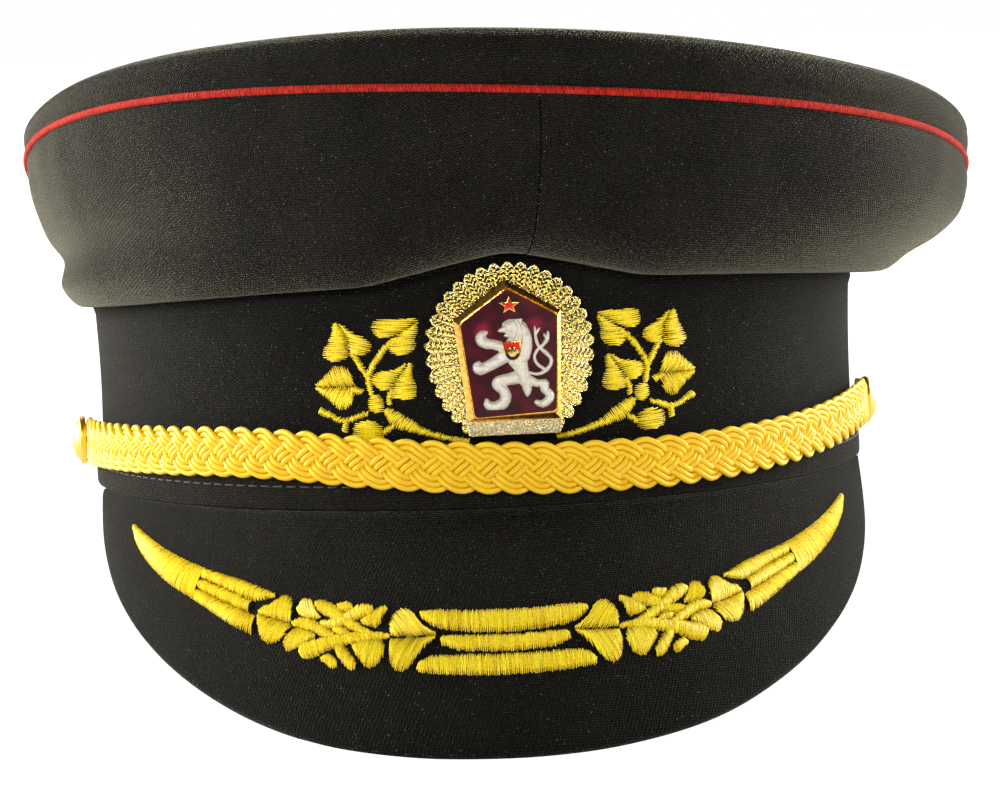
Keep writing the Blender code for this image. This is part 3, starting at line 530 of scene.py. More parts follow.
def buildCrownTop():
    c, f = crownCloth, capForm
    centre = Vector((f["rimRight"], f["rimBack"], 0))
    front, rear = rimPoint(0.0), rimPoint(pi)
    top = front.z + c["shoulders"][0]
    slope, roll = (rear.z + c["shoulders"][3] - top) / (rear.y - front.y), tan(f["rimRoll"])
    clear = c["pipingRoom"] + f["gap"]
    angles = anglesRound(240, ())
    columns = []
    for a in angles:
        rim = rimPoint(a)
        shoulder = goRound(a, *c["shoulders"])
        swell = c["bulge"] * goRound(a, 1.0, 0.15, 0.3, 0.8)
        away = Vector((rim - centre).xy).normalized().to_3d()
        line = [rim + Vector((0, 0, clear - c["tuck"]))]
        for bulge, up in c["shoulderRows"]:
            out = bulge * (swell if bulge > 0 else c["bulge"])
            line.append(rim + away * out + Vector((0, 0, mix(clear, shoulder, up))))
        for share in c["topRings"]:
            place = Vector((*centre.lerp(rim, share).xy, 0))
            carried = rim.z + (place.y - rim.y) * slope + (place.x - rim.x) * roll
            plane = top + (place.y - front.y) * slope + (place.x - f["rimRight"]) * roll
            left = carried + shoulder - plane
            place.z = plane + left * share ** 2 + c["dome"] * (1 - share ** 2)
            line.append(place)
        column = [Vector(p) for p in curved([tuple(p) for p in line], 6)]
        for i, p in enumerate(column):
            share = i / (len(column) - 1)
            wave = 0.0006 * noise.noise(p / 0.045) * smooth(0.15, 0.5, share)
            pull = 0.0004 * noise.noise(p / 0.03) * (1 - smooth(0.3, 0.6, share)) * smooth(0.0, 0.1, share)
            column[i] = p + Vector((0, 0, wave)) + away * pull
        columns.append(column)
    runs = [lengthsAlong(column) for column in columns]
    wide = len(angles)

    def uvOf(i, j):
        reach = runs[j % wide][-1] - runs[j % wide][i]
        a = angles[j % wide]
        return (reach * sin(a), -reach * cos(a))
    mesh = woven("crownTop", [(asRows(columns), uvOf, True, False, None)])
    bm = bmesh.new()
    bm.from_mesh(mesh)
    bm.verts.ensure_lookup_table()
    bm.faces.new(bm.verts[-wide:])
    bmesh.ops.recalc_face_normals(bm, faces=bm.faces)
    bm.to_mesh(mesh)
    bm.free()
    mesh.shade_smooth()
    thicken(piece("crownTop", mesh, "cloth", "cloth", "crown_top"), c["wall"])


def buildPiping():
    count, sides, radius = 520, 10, crownCloth["pipingRadius"]
    path = [rimPoint(2 * pi * i / count) for i in range(count)]
    rows, up = [], Vector((0, 0, 1))
    for i, p in enumerate(path):
        side = (path[(i + 1) % count] - path[i - 1]).cross(up).normalized()
        swell = radius * (1 + 0.05 * noise.noise(p / 0.004))
        rows.append(ringOf(p, side, up, swell, sides))
    step = 2 * pi * 117 / count
    mesh = woven("crownPiping", [(rows, lambda i, j: (i * step, j / sides), True, True, None)])
    piece("crownPiping", mesh, "piping", "piping", "crown_piping")


headBand = {
    "around": 240, "perTurn": 96.0, "rows": 22,
    "roll": 0.00055, "rollDown": 0.0016, "seamDepth": 0.0004,
}


def buildBand():
    b, f = headBand, capForm
    angles = anglesRound(b["around"], (pi,))
    foot = f["stripFoot"] + f["gap"]
    wide = len(angles)
    rows = []
    for i in range(b["rows"] + 1):
        share = i / b["rows"]
        row = []
        for a in angles:
            height = mix(foot, bandTop(a), share)
            fromTop = bandTop(a) - height
            roll = b["roll"] * exp(-((fromTop - b["rollDown"]) / 0.0009) ** 2)
            furrow = seamDip(angleFrom(a, pi) * 0.1, b["seamDepth"])
            wave = 0.0003 * noise.noise(Vector((a * 3, height / 0.03, 1.0)))
            row.append(bandPoint(a, height, roll + furrow + wave))
        rows.append(row)

    def uvOf(i, j):
        return ((angles[j % wide] + 2 * pi * (j // wide)) * b["perTurn"], rows[i][j % wide].z / mm)
    mesh = woven("headBand", [(rows, uvOf, True, False, None)])
    thicken(piece("headBand", mesh, "shadedBandCloth", "cloth", "band"), f["bandWall"])


peakForm = {
    "reach": 0.042, "drop": 0.0415, "thick": 0.0028, "bulge": 0.0012, "sweep": radians(74.1),
    "edgeSweep": radians(86.2), "power": 0.53, "turn": radians(2.4), "around": 130, "across": 26,
    "fuller": [(-27, 17, 0.0010), (28, 15, 0.0006)],  # where the edge stands out: degrees, spread, how far
}


def peakEdge(turn):
    p, f = peakForm, capForm
    half, long = f["bandWidth"] / 2, f["bandLength"] / 2
    back, lift = 0.192 * long, 0.313 * p["drop"]
    x = 0.942 * half * sin(turn)
    y = -back - (long + p["reach"] - back) * cos(turn)
    z = lift - (lift + p["drop"]) * max(cos(turn), 0.0) ** p["power"]
    c, s = cos(p["turn"]), sin(p["turn"])
    return Vector((x * c + y * s, y * c - x * s, z))


def peakPoint(turn, share, lift):
    p, f = peakForm, capForm
    angle = turn * p["sweep"] / p["edgeSweep"] - p["turn"]
    root = bandPoint(angle, 0.0, f["stripOut"] - 0.0001)
    root.z = -0.0004
    edge = peakEdge(turn)
    away = bandAway(angle)
    slope = min(atan2(root.z - edge.z, (edge - root).dot(away)), radians(86))
    normal = away * sin(slope) + Vector((0, 0, cos(slope)))
    edge = edge + normal * p["thick"]
    width = (edge - root).length / (p["reach"] + p["drop"])
    swell = p["bulge"] * min(1.0, width * 3) * 4 * share * (1 - share)
    return root.lerp(edge, share) + normal * (swell + lift)


def settled(point):
    up = Vector((0, -sin(capForm["tilt"]), cos(capForm["tilt"])))
    sunk = up.dot(peakEdge(0.0)) + 0.0005 - up.dot(point)
    return point + up * max(0.0, sunk)


def buildPeak():
    p, f = peakForm, capForm
    last = p["edgeSweep"] * 0.98
    edgeRound = p["thick"] / 2
    columns = []
    for i in range(p["around"] + 1):
        turn = last * sin(mix(-1, 1, i / p["around"]) * pi / 2 * 0.92) / sin(pi / 2 * 0.92)
        angle = turn * p["sweep"] / p["edgeSweep"] - p["turn"]
        tongue = bandPoint(angle, 0.0, -f["bandWall"])
        wide = max((peakPoint(turn, 1, 0) - peakPoint(turn, 0, 0)).length, 0.003)
        spread = 0.45 * edgeRound
        spread += sum(d * exp(-((turn - radians(at)) / radians(w)) ** 2) for at, w, d in p["fuller"])
        end = 1 + spread / wide * min(1.0, wide / 0.012)
        stop = end - min(0.8 * edgeRound / wide, 0.3)
        column = [tongue - Vector((0, 0, f["gap"]))]
        column += [peakPoint(turn, stop * k / p["across"], 0.0) for k in range(p["across"] + 1)]
        for k in range(1, 8):  # the rolled edge
            a = k / 8 * pi
            column.append(peakPoint(turn, mix(stop, end, sin(a)), -edgeRound + edgeRound * cos(a)))
        column += [peakPoint(turn, stop * (1 - k / 6), -p["thick"]) for k in range(7)]
        column.append(tongue - Vector((0, 0, f["gap"] + p["thick"])))
        for n, q in enumerate(column):
            wave = 0.00018 * noise.noise(q / 0.02)
            column[n] = settled(q + Vector((0, 0, wave)))
        columns.append(column)
    runs = [lengthsAlong(column + column[:1]) for column in columns]
    ahead = lengthsAlong([column[16] for column in columns])

    def uvOf(i, j):
        k = min(i, len(columns) - 1)
        return (ahead[k], runs[k][j])
    piece("shadedPeakCloth", woven("peak", [(columns, uvOf, True, False, 0.0)]), "shadedPeakCloth", "cloth", "peak")


edgeStrip = {
    "around": 240, "length": 0.603, "radius": 0.097,
    "stitch": 0.0022, "pitch": 0.0033, "stitchUp": 0.0045, "thread": 0.00012,
}


def buildEdgeStrip():
    f = capForm
    outer, inner = f["stripOut"], f["gap"]
    tall = f["stripHeight"]
    section = [(outer - 0.0003, -0.0002), (outer - 0.00008, 0.0), (outer, 0.0004),
               (outer + 0.00008, 0.002),
               (outer + 0.0001, 0.0036), (outer - 0.00012, 0.0045), (outer + 0.0001, 0.0054),
               (outer + 0.00005, tall - 0.0012), (outer - 0.0001, tall - 0.0003), (outer - 0.0004, tall),
               (inner, tall), (inner, f["stripFoot"]),
               (-f["bandWall"], f["stripFoot"]), (-f["bandWall"], 0.0)]
    rows = []
    for i in range(edgeStrip["around"]):
        a = 2 * pi * i / edgeStrip["around"]
        wave = 0.00012 * noise.noise(Vector((a * 9, 0, 5)))
        rows.append([settled(bandPoint(a, z, out + (wave if out > 0.001 else 0.0))) for out, z in section])
    runs = lengthsAlong([Vector((out, z, 0)) for out, z in section + section[:1]])
    mesh = woven("edgeStrip", [(rows, lambda i, j: (i * 2.52, runs[j]), True, True, None)])
    piece("edgeStrip", mesh, "stripCloth", "cloth", "band_edge")
    parts = []
    count = int(edgeStrip["length"] / edgeStrip["pitch"])
    turn = edgeStrip["stitch"] / 2 / edgeStrip["radius"]
    for n in range(count):
        a = 2 * pi * n / count
        path, ups = [], []
        for k in range(7):
            t = mix(-1, 1, k / 6)
            at = a + t * turn
            path.append(bandPoint(at, edgeStrip["stitchUp"] + chance.uniform(-0.00004, 0.00004),
                                  outer - 0.00012 + 0.00016 * (1 - t ** 4)))
            ups.append(bandAway(at))
        line = tube(path, ups, edgeStrip["thread"], 6)
        parts.append((line, lambda i, j: (i * 0.4, j * 0.16), True, False, 0.3))
    piece("edgeStitching", woven("edgeStitching", parts), "threadAndSeamShadow", "cloth")


buildCrownSide()
buildCrownTop()
buildPiping()
buildBand()
buildPeak()
buildEdgeStrip()
print("cloth pieces built")


# Chin cord: a flat plait of four strands, each of three cords

chinPlait = {
    "cordRadius": 0.00059, "spread": 0.00115, "period": 0.0214, "sway": 0.00336, "weave": 0.00058,
    "sides": 8, "stepsPerPeriod": 44, "endAngle": radians(84), "endRadius": 0.0059,
    "heights": [(-92, 1.08), (-84, 1.12), (-64, 1.23), (-48, 1.31), (-38, 1.36), (-30, 1.32), (-14, 1.04),
                (0, 0.88), (10, 0.82), (24, 0.81), (40, 0.96), (56, 1.2), (64, 1.37), (72, 1.39), (84, 1.2),
                (92, 1.16)],  # degrees round, and how high the cord lies in heights of the edge strip
    "knots": [(0, 0), (0.25, 1), (0.5, -1), (0.75, 1), (1.25, -1), (1.5, 1), (1.75, -1), (2, 0)],
}


def arcTable(last):  # metres along the band from the front's middle, beside the angle there
    turns = [last * i / 400 for i in range(-400, 401)]
    runs = lengthsAlong([bandPoint(a, 0.01, 0.003) for a in turns])
    return [((run - runs[-1] / 2) * mm, a) for run, a in zip(runs, turns)]


def plaitHeight(angle):
    table = [(radians(a), h) for a, h in chinPlait["heights"]]
    near = [reading(table, angle + radians(d), False) for d in (-5, -2.5, 0, 2.5, 5)]
    return capForm["stripHeight"] * sum(near) / 5


def buildChinPlait():
    c = chinPlait
    table = arcTable(c["endAngle"] + radians(4))
    half = table[-1][0] - 0.0016
    back = capForm["stripOut"] + capForm["gap"]
    steps = int(2 * half / c["period"] * c["stepsPerPeriod"])
    parts = []
    for strand in range(4):
        for cord in (-1, 0, 1):
            path, ups = [], []
            shift = chance.uniform(-0.00006, 0.00006)
            for i in range(steps + 1):
                s = mix(-half, half, i / steps)
                phase = (s / c["period"] * 2 + 1 + strand * 0.5) % 2.0  # in half turns
                sway = c["sway"] * (cos(pi * phase) + 0.04 * cos(3 * pi * phase))
                slope = -c["sway"] * (sin(pi * phase) + 0.12 * sin(3 * pi * phase)) * 2 * pi / c["period"]
                size = hypot(1, slope)
                off = cord * c["spread"] + shift
                along, across = s - off * slope / size, sway + off / size
                lift = c["weave"] * reading(c["knots"], phase)
                angle = reading(table, min(max(along, -half), half), False)
                past = max(abs(s) - (half - c["endRadius"]), 0.0) / c["endRadius"]
                across *= sqrt(max(1 - past ** 2, 0.12))
                path.append(bandPoint(angle, plaitHeight(angle) + across, back + 0.00125 + lift))
                ups.append(bandAway(angle))
            runs = lengthsAlong(path)
            parts.append((tube(path, ups, c["cordRadius"], c["sides"]),
                          lambda i, j, runs=runs: (runs[i], j / c["sides"]), True, False, 0.5))
    piece("chinPlait", woven("chinPlait", parts, 80), "plait", "plait", "chin_braid")


buttonForm = {
    "radius": 0.0055, "height": 0.0032,
    "profile": [(0, 1), (0.22, 0.985), (0.45, 0.91), (0.64, 0.79), (0.78, 0.6), (0.84, 0.5), (0.87, 0.42),
                (0.9, 0.44), (0.95, 0.46), (0.99, 0.38), (1, 0.24), (0.985, 0.1), (0.93, 0.02), (0.5, 0)],
    "around": 56,
}


def buildButton(side, word):
    b = buttonForm
    angle = side * chinPlait["endAngle"]
    away = bandAway(angle)
    seat = capForm["stripOut"] + 2 * capForm["gap"] + 0.0019
    middle = bandPoint(angle, plaitHeight(angle), seat)
    across = away.cross(Vector((0, 0, 1))).normalized()
    up = across.cross(away).normalized()
    rows = []
    for reach, high in curved(b["profile"], 3):
        reach = max(reach, 0.004)
        top = middle + away * (b["height"] * high)
        rows.append(ringOf(top, across, up, b["radius"] * reach, b["around"]))
    mesh = woven("button", [(rows, lambda i, j: (j * 0.6, i * 0.3), True, False, 0.0)])
    piece("button" + word, mesh, "buttonGilt", "gilt", "button_" + word.lower())


buildChinPlait()
buildButton(-1, "Left")
buildButton(1, "Right")
print("chin cord built")


# Embroidery: every stitch is a thread that arches over the cloth

stitchForm = {
    "radius": 0.000155, "pitch": 0.00027, "sides": 5, "height": 0.00058,
    "ragged": 0.00034, "stray": 0.00004, "zigzag": 0.46, "uneven": (0.82, 1.12),
}
halfRun = peakForm["edgeSweep"] * (capForm["bandLength"] + capForm["bandWidth"]) / 3
peakSize = (halfRun, peakForm["reach"] + peakForm["thick"])
peakChart = [size / 1000 for size in peakSize]  # the figures on the peak are drawn in thousandths of both


def onPeak(side):
    def place(x, y, lift):
        return peakPoint(side * x / peakSize[0] * peakForm["edgeSweep"], y / peakSize[1], lift)
    return place


def onBand(side):
    def place(x, y, lift):
        return bandPoint(side * x / (capForm["bandWidth"] / 2), y, lift)
    return place


def stitch(place, a, b, height, radius):
    long = (b - a).length
    way = (b - a) / max(long, 0.00001)
    rag, stray, shift = stitchForm["ragged"], stitchForm["stray"], chance.uniform(0, 60)
    side = Vector((-way.y, way.x))
    a = a - way * chance.uniform(-0.2 * rag, rag) + side * chance.gauss(0, stray)
    b = b + way * chance.uniform(-0.2 * rag, rag) + side * chance.gauss(0, stray)
    raised = chance.uniform(-0.00004, 0.00006)
    count = 4 if long < 0.0018 else 6 if long < 0.006 else 8
    arch = min(height, long * 0.32)
    path, ups = [], []
    for k in range(count + 1):
        t = k / count
        lift = radius * 0.4 + raised + arch * (1 - abs(2 * t - 1) ** 2.6) * chance.uniform(0.96, 1.04)
        p = a.lerp(b, t)
        path.append(place(p.x, p.y, lift))
        ups.append((place(p.x, p.y, lift + 0.001) - path[-1]).normalized())
    sizes = [radius * (0.55 if k in (0, count) else 1.0) for k in range(count + 1)]
    runs = lengthsAlong(path)
    hue = max(0.25, chance.gauss(0.66, 0.13))
    rows = tube(path, ups, sizes, stitchForm["sides"])
    return (rows, lambda i, j: (runs[i] + shift, j * 0.25), True, False, hue)


def filling(place, a, b, height, pitch):  # one stitch of many, a little thicker or thinner than the next
    radius = stitchForm["radius"] * chance.uniform(*stitchForm["uneven"]) * min(1.0, pitch + 0.12)
    return stitch(place, a, b, height, radius)


def satinStroke(place, rows, height, slant=0.0, pitch=1.0):  # across a stroke whose rows join its two edges
    edges = [(Vector(r[:2]), Vector(r[2:4])) for r in rows]
    lengths = [0.0]
    for (a, b), (c, d) in zip(edges, edges[1:]):
        middle = ((a + b) / 2 - (c + d) / 2).length
        lengths.append(lengths[-1] + max(middle, ((a - c).length + (b - d).length) / 2))

    def at(s, which):
        s = min(max(s, 0.0), lengths[-1])
        for n in range(len(edges) - 1):
            if s <= lengths[n + 1] or n == len(edges) - 2:
                span = max(lengths[n + 1] - lengths[n], 0.00001)
                return edges[n][which].lerp(edges[n + 1][which], (s - lengths[n]) / span)
    step = stitchForm["pitch"] * pitch
    parts = []
    for k in range(max(int(lengths[-1] / step), 2) + 1):
        s = k * step + chance.uniform(-0.1, 0.1) * step
        back = stitchForm["zigzag"] * step * (1 if k % 2 else -1)
        a, b = at(s + back, 0), at(s + slant - back, 1)
        if (a - b).length > 0.0002:
            parts.append(filling(place, a, b, height, pitch))
    return parts


def satinShape(place, corners, way, height, pitch=1.0):  # fills an outline, running the given way
    way = Vector(way).normalized()
    side = Vector((-way.y, way.x))
    spots = [Vector(c) for c in corners]
    heights = [p.dot(side) for p in spots]
    step = stitchForm["pitch"] * pitch
    parts = []
    level, back = min(heights) + step * 0.4, side * stitchForm["zigzag"] * step
    while level < max(heights):
        crossings = []
        for p, q in zip(spots, spots[1:] + spots[:1]):
            hp, hq = p.dot(side), q.dot(side)
            if (hp - level) * (hq - level) < 0:
                crossings.append(p.lerp(q, (level - hp) / (hq - hp)))
        crossings.sort(key=lambda p: p.dot(way))
        for a, b in zip(crossings[::2], crossings[1::2]):
            if (b - a).length > 0.0003:
                parts.append(filling(place, a + back, b - back, height, pitch))
        back = -back
        level += step * chance.uniform(0.92, 1.08)
    return parts


def charted(rows):
    return [tuple(v * peakChart[i % 2] for i, v in enumerate(row)) for row in rows]


def shrunk(corners, share):
    cx, cy = (sum(c[i] for c in corners) / len(corners) for i in (0, 1))
    return [(mix(cx, x, share), mix(cy, y, share)) for x, y in corners]


def stemRows(points, scale=(1.0, 1.0), wide=1.0, pieces=5):
    line = curved([(x * scale[0], y * scale[1], w * wide) for x, y, w in points], pieces)
    rows = []
    for i, (x, y, width) in enumerate(line):
        before, after = line[max(i - 1, 0)], line[min(i + 1, len(line) - 1)]
        way = Vector((after[0] - before[0], after[1] - before[1])).normalized()
        side = Vector((-way.y, way.x)) * width / 2
        rows.append((x + side.x, y + side.y, x - side.x, y - side.y))
    return rows


peakStitching = {
    "horn": [(750, 250, 752, 262), (690, 300, 725.5, 395), (635.5, 338, 673.5, 483),
             (589.5, 358, 618.5, 535), (552.5, 373, 571.5, 559), (526.5, 380, 540.5, 570)],
    "hornBars": [
        [(523.5, 383, 528.5, 437), (472.5, 390, 483.5, 450), (426.5, 405, 440.5, 474),
         (404.5, 420, 409.5, 484), (374.5, 437, 375, 446)],
        [(528.5, 447, 534.5, 500), (472.5, 463, 480.5, 523), (418.5, 493, 422.5, 546)],
        [(533.5, 510, 539.5, 570), (474.5, 534, 494.5, 602), (423.5, 556, 446.5, 637),
         (408.5, 566, 410.5, 652)],
    ],
    "leaves": [  # outline of each half leaf, and the way its stitches run
        ([(404.5, 538), (394, 505), (383, 492), (372, 463), (362, 443), (350, 436), (341.5, 460),
          (340, 520), (341.5, 552), (357, 552), (375, 548), (392, 545)], (0.1, 1)),
        ([(404.5, 545), (403.5, 585), (396, 648), (381, 672), (366, 661), (352, 632), (343.5, 592),
          (341.5, 566), (357, 560), (375, 556), (392, 553)], (0.75, 0.66)),
        ([(176.5, 566), (178.5, 520), (172.5, 476), (158, 447), (145, 456), (134.5, 490), (121, 527),
          (105, 549), (125, 556), (150, 562)], (0.8, -0.6)),
        ([(176.5, 580), (178.5, 640), (172.5, 690), (159, 709), (145.5, 684), (133, 638), (119, 592),
          (105, 560), (125, 566), (150, 573)], (0.62, 0.78)),
    ],
    "sprigLeaves": [
        ([(333.5, 478), (324.5, 442), (315, 437), (306, 447), (299, 485), (290.5, 512), (296, 522),
          (311, 522), (325, 519), (332, 505)], (0.55, -1)),
        ([(352.5, 655), (345, 612), (335, 583), (320, 577), (305, 585), (295.5, 598), (308, 625),
          (320, 650), (333, 675), (345, 688)], (0.45, 1)),
        ([(227, 512), (213, 486), (202, 457), (186, 440), (182, 452), (189, 480), (195.5, 528), (208, 530),
          (219, 522)], (0, 1)),
        ([(238, 625), (226, 598), (210, 579), (192, 583), (184, 610), (186.5, 645), (196, 690), (211, 704),
          (223, 675), (233, 645)], (0.35, 1)),
    ],
    "stems": [
        [(339.5, 560, 14), (325, 549, 40), (305, 552, 48), (270, 592, 40), (256, 612, 20)],
        [(322, 684, 30), (316, 672, 66), (299, 655, 74), (264, 610, 52), (214.5, 574, 40), (178, 566, 12)],
        [(302, 456, 16), (295, 460, 45), (277, 474, 64), (247, 518, 48), (217, 556, 34), (206, 562, 20)],
        [(204.5, 456, 16), (212, 460, 44), (231.5, 475, 56), (264, 530, 42), (290, 540, 18)],
        [(262, 632, 34), (253.5, 652, 58), (240, 688, 60), (230, 702, 30)],
    ],
    "buds": [
        [(264, 450, 14), (255, 456, 40), (245, 452, 40), (239, 448, 18)],
        [(269.5, 563, 12), (260, 560, 30), (250, 565, 30), (243.5, 567, 10)],
        [(286, 694, 12), (276, 690, 40), (266, 702, 44), (260, 706, 16)],
    ],
    "centreBars": {
        "Top": [(130, 462, 129.5, 480), (118, 455, 115, 508), (100, 452, 97, 526), (50, 456, 50, 538),
                (0, 457, 0, 543)],
        "Middle": [(96.5, 560, 99, 590), (67, 557, 70, 614), (0, 560, 0, 620)],
        "Bottom": [(130, 664, 136, 690), (114, 643, 130, 705), (60, 636, 65, 710), (0, 638, 0, 712)],
    },
}


def buildPeakStitching():
    e, tall = peakStitching, stitchForm["height"]
    for word, half in e["centreBars"].items():
        rows = charted([(-a, b, -c, d) for a, b, c, d in half] + list(reversed(half[:-1])))
        outline = [r[:2] for r in rows] + [r[2:4] for r in reversed(rows)]
        mesh = woven("centreBar", satinShape(onPeak(1), outline, (0.02, 1.0), tall))
        piece("peakBar" + word, mesh, "thread", "thread", "peak_bar_" + word.lower())
    for side, word in ((-1, "Left"), (1, "Right")):
        place = onPeak(side)
        parts = satinStroke(place, curved(charted(e["horn"]), 4), tall * 1.15)
        for bar in e["hornBars"]:
            parts += satinStroke(place, curved(charted(bar), 3), tall)
        piece("peakHorn" + word, woven("horn", parts), "thread", "thread", "peak_horn_" + word.lower())

        def leaves(found, share, height, pitch):
            threads = []
            for outline, way in found:
                outline = charted(shrunk(curved(outline + outline[:1], 3), share))
                threads += satinShape(place, outline, way, height, pitch)
            return threads
        for name, first in (("Outer", 0), ("Inner", 2)):
            mesh = woven("peak" + name + "Leaf", leaves(e["leaves"][first:first + 2], 0.97, tall, 0.84))
            node = "peak_" + name.lower() + "_leaf_" + word.lower()
            piece("peak" + name + "Leaf" + word, mesh, "thread", "thread", node)
        parts = leaves(e["sprigLeaves"], 0.96, tall * 0.8, 0.86)
        for n, points in enumerate(e["stems"] + e["buds"]):
            rows = stemRows(points, peakChart, peakChart[1] * 0.95)
            parts += satinStroke(place, rows, tall * (1.4 if n == 1 else 0.9), slant=0.0003, pitch=0.9)
        piece("peakSprig" + word, woven("sprig", parts), "thread", "thread", "peak_sprig_" + word.lower())


branchStitching = {  # millimetres beside the middle along the band, and above its lower edge
    "shapes": [  # outline, and the way its stitches run
        ([(34.9, 37.3), (35.5, 36.1), (35.8, 34.8), (36.6, 33.2), (37.6, 31.7), (37.7, 30.8), (36.8, 30),
          (35.5, 29.5), (33.8, 29.8), (32.5, 30.8), (32.6, 32.4), (32.9, 34.1), (33.6, 35.9)], (1, 0.05)),
        ([(34.4, 37.2), (33.3, 36.6), (32.3, 35.8), (30.8, 34.8), (29.3, 34.2), (28, 33.1), (27.8, 32),
          (28.9, 31), (30.3, 30.6), (31.6, 31.2), (32.2, 32.2), (32.5, 33.9), (33.2, 35.7)], (-1, -0.25)),
        ([(27.1, 36.1), (26.6, 37.2), (25.1, 37.7), (23.1, 37.5), (21, 37.6), (19.2, 37.6), (18, 37.2),
          (19.8, 36.1), (21.6, 35), (23.3, 34.4), (24.5, 34), (25.9, 34.1), (26.9, 34.9)], (1, 0.08)),
        ([(18, 36.8), (18.3, 35.2), (18.7, 33.7), (18.8, 32.2), (19.6, 31), (21.2, 30.5), (22.9, 30.7),
          (23.9, 31.5), (24.2, 32.3), (23.8, 33.4), (22.2, 34.3), (20.1, 35.6)], (1, 0)),
        ([(40.1, 24.6), (38.4, 25.9), (36.8, 27.2), (35.5, 28.3), (34, 28.4), (32.7, 27.9), (32, 26.9),
          (31.7, 25.6), (31.6, 24.8), (33.6, 24.6), (36.2, 24.6)], (-0.5, -1)),
        ([(40.1, 24.4), (38.4, 23), (36.8, 21.8), (35.7, 20.6), (34.6, 20), (33.1, 20.2), (32, 21.3),
          (31.7, 22.9), (31.7, 24.1), (34.4, 24.1), (37, 24.2)], (-0.45, 1)),
        ([(20.2, 29.1), (21.8, 28.2), (23.5, 27.5), (25.5, 27.3), (27.2, 26.8), (27.9, 25.8), (27.4, 24.7),
          (26.1, 23.8), (24.7, 23.6), (23.9, 24.2), (22.9, 25.7), (21.6, 27.4)], (1, 0.15)),
        ([(20, 29.1), (19.5, 28.1), (19.6, 26.4), (19.2, 24.8), (18.8, 23.5), (19.2, 22.1), (20.4, 21.7),
          (22.2, 21.8), (23.7, 22.1), (23.8, 23), (23.6, 24), (22.6, 25.5), (21.3, 27.3)], (1, 0)),
        ([(32, 15.9), (31.6, 16.9), (30.3, 17.5), (28.7, 17.6), (27.2, 17.1), (26.1, 16.1), (25.9, 15),
          (26.4, 13.8), (28.9, 13.3), (31.2, 13.8), (32, 14.7)], (1, 0.1)),
        ([(28.7, 21), (28.4, 22.2), (27.4, 22.7), (26.4, 22.5), (25.7, 21.5), (25.7, 20.2), (26.4, 19.3),
          (27.6, 19.3), (28.4, 19.9)], (1, 0)),
    ],
    "stems": [
        [(28, 22.6, 0.9), (28.4, 24.9, 1), (28.7, 26.6, 0.9)],
        [(28.7, 26.3, 0.9), (30.1, 28.6, 1), (31.7, 31.2, 0.9)],
        [(28.7, 26.3, 0.9), (27.2, 28.9, 1), (25.1, 31.6, 1), (22.9, 33.4, 0.8)],
        [(32.3, 24, 0.8), (31, 23.7, 1.2), (29.8, 23.2, 0.9)],
        [(24.5, 20.6, 0.8), (24.4, 22.3, 0.9), (23.8, 23.8, 0.7)],
        [(28.8, 19.1, 0.6), (31, 18.4, 0.9), (33.8, 17.6, 0.9), (35.7, 18.1, 0.9), (37.7, 19.1, 1),
         (38.8, 19.5, 1.4), (39.3, 19.7, 0.9)],
        [(33.6, 17.6, 0.8), (33.8, 16.5, 1), (33.9, 15.4, 0.9)],
        [(25.9, 15, 0.7), (24.8, 15.9, 0.9), (23.7, 16.3, 0.8)],
        [(25.5, 19.7, 0.8), (24.1, 18.6, 2.3), (22.7, 17.4, 2.9), (20.6, 16.5, 2.4), (18.6, 15.5, 1.5),
         (16.2, 14.7, 1), (13.8, 14, 0.9), (11.3, 13.5, 0.9), (8.8, 13.1, 0.8)],
    ],
}


def buildBranches():
    b, tall = branchStitching, stitchForm["height"] * 0.9
    for side, word in ((-1, "Left"), (1, "Right")):
        place, parts = onBand(side), []
        for points in b["stems"]:
            rows = stemRows(points, (mm, mm), mm * 0.95)
            parts += satinStroke(place, rows, tall * 0.85, slant=0.0003, pitch=0.76)
        for outline, way in b["shapes"]:
            outline = [Vector(p) * mm for p in curved(outline + outline[:1], 3)]
            parts += satinShape(place, outline, way, tall, 0.74)
        piece("branch" + word, woven("branch", parts), "thread", "thread", "branch_" + word.lower())


buildPeakStitching()
buildBranches()
print("embroidery stitched")


# Badge

badgeForm = {
    "width": 0.0338, "height": 0.0343, "back": 0.0009, "relief": 0.0009, "bow": 0.0012,
    "lobes": 31, "scallop": 0.0012, "lobeSteps": 21, "rings": 124,
    "rib": 0.0002, "chevron": 0.00048, "chevronPitch": 0.00096, "slant": 1.85,
    "shieldThick": 0.0016,
    "frameCorners": [(-0.9, 44.6), (10.0, 38.2), (9.35, 17.0), (-8.9, 17.1), (-11.15, 37.1)],
    "fieldCorners": [(-0.55, 42.75), (9.0, 37.4), (8.3, 18.7), (-7.6, 17.9), (-9.75, 36.4)],
    "footCorners": [(-8.95, 14.2), (9.15, 14.2), (9.55, 18.6), (9.0, 24.0), (-9.2, 24.0), (-9.4, 18.2)],
    "starAt": (-0.15, 39.6), "starSize": (2.2, 1.85),
    "chestCorners": [(-1.97, 32.52), (1.81, 32.73), (1.72, 29.84), (1.2, 28.95), (0.45, 28.64),
                     (-0.45, 28.95), (-1.2, 29.7), (-1.6, 31.0)],
    "chestInner": [(-1.55, 32.3), (1.62, 32.48), (1.55, 30.9), (1.0, 31.0), (0.5, 31.35), (0.0, 31.5),
                   (-0.5, 31.2), (-1.0, 31.0), (-1.3, 31.2)],
    "chestFlame": [(-0.75, 30.2), (-0.72, 31.0), (-0.42, 31.45), (-0.3, 31.1), (0.05, 31.85), (0.35, 31.15),
                   (0.62, 31.5), (0.8, 30.9), (0.72, 30.1), (0.35, 29.75), (-0.35, 29.78)],
}
badgeMiddle = bandTop(0.0) - badgeForm["height"] / 2 - 0.0012
shieldBack = badgeForm["back"] + badgeForm["relief"] + capForm["gap"]
shieldFront = shieldBack + badgeForm["shieldThick"]


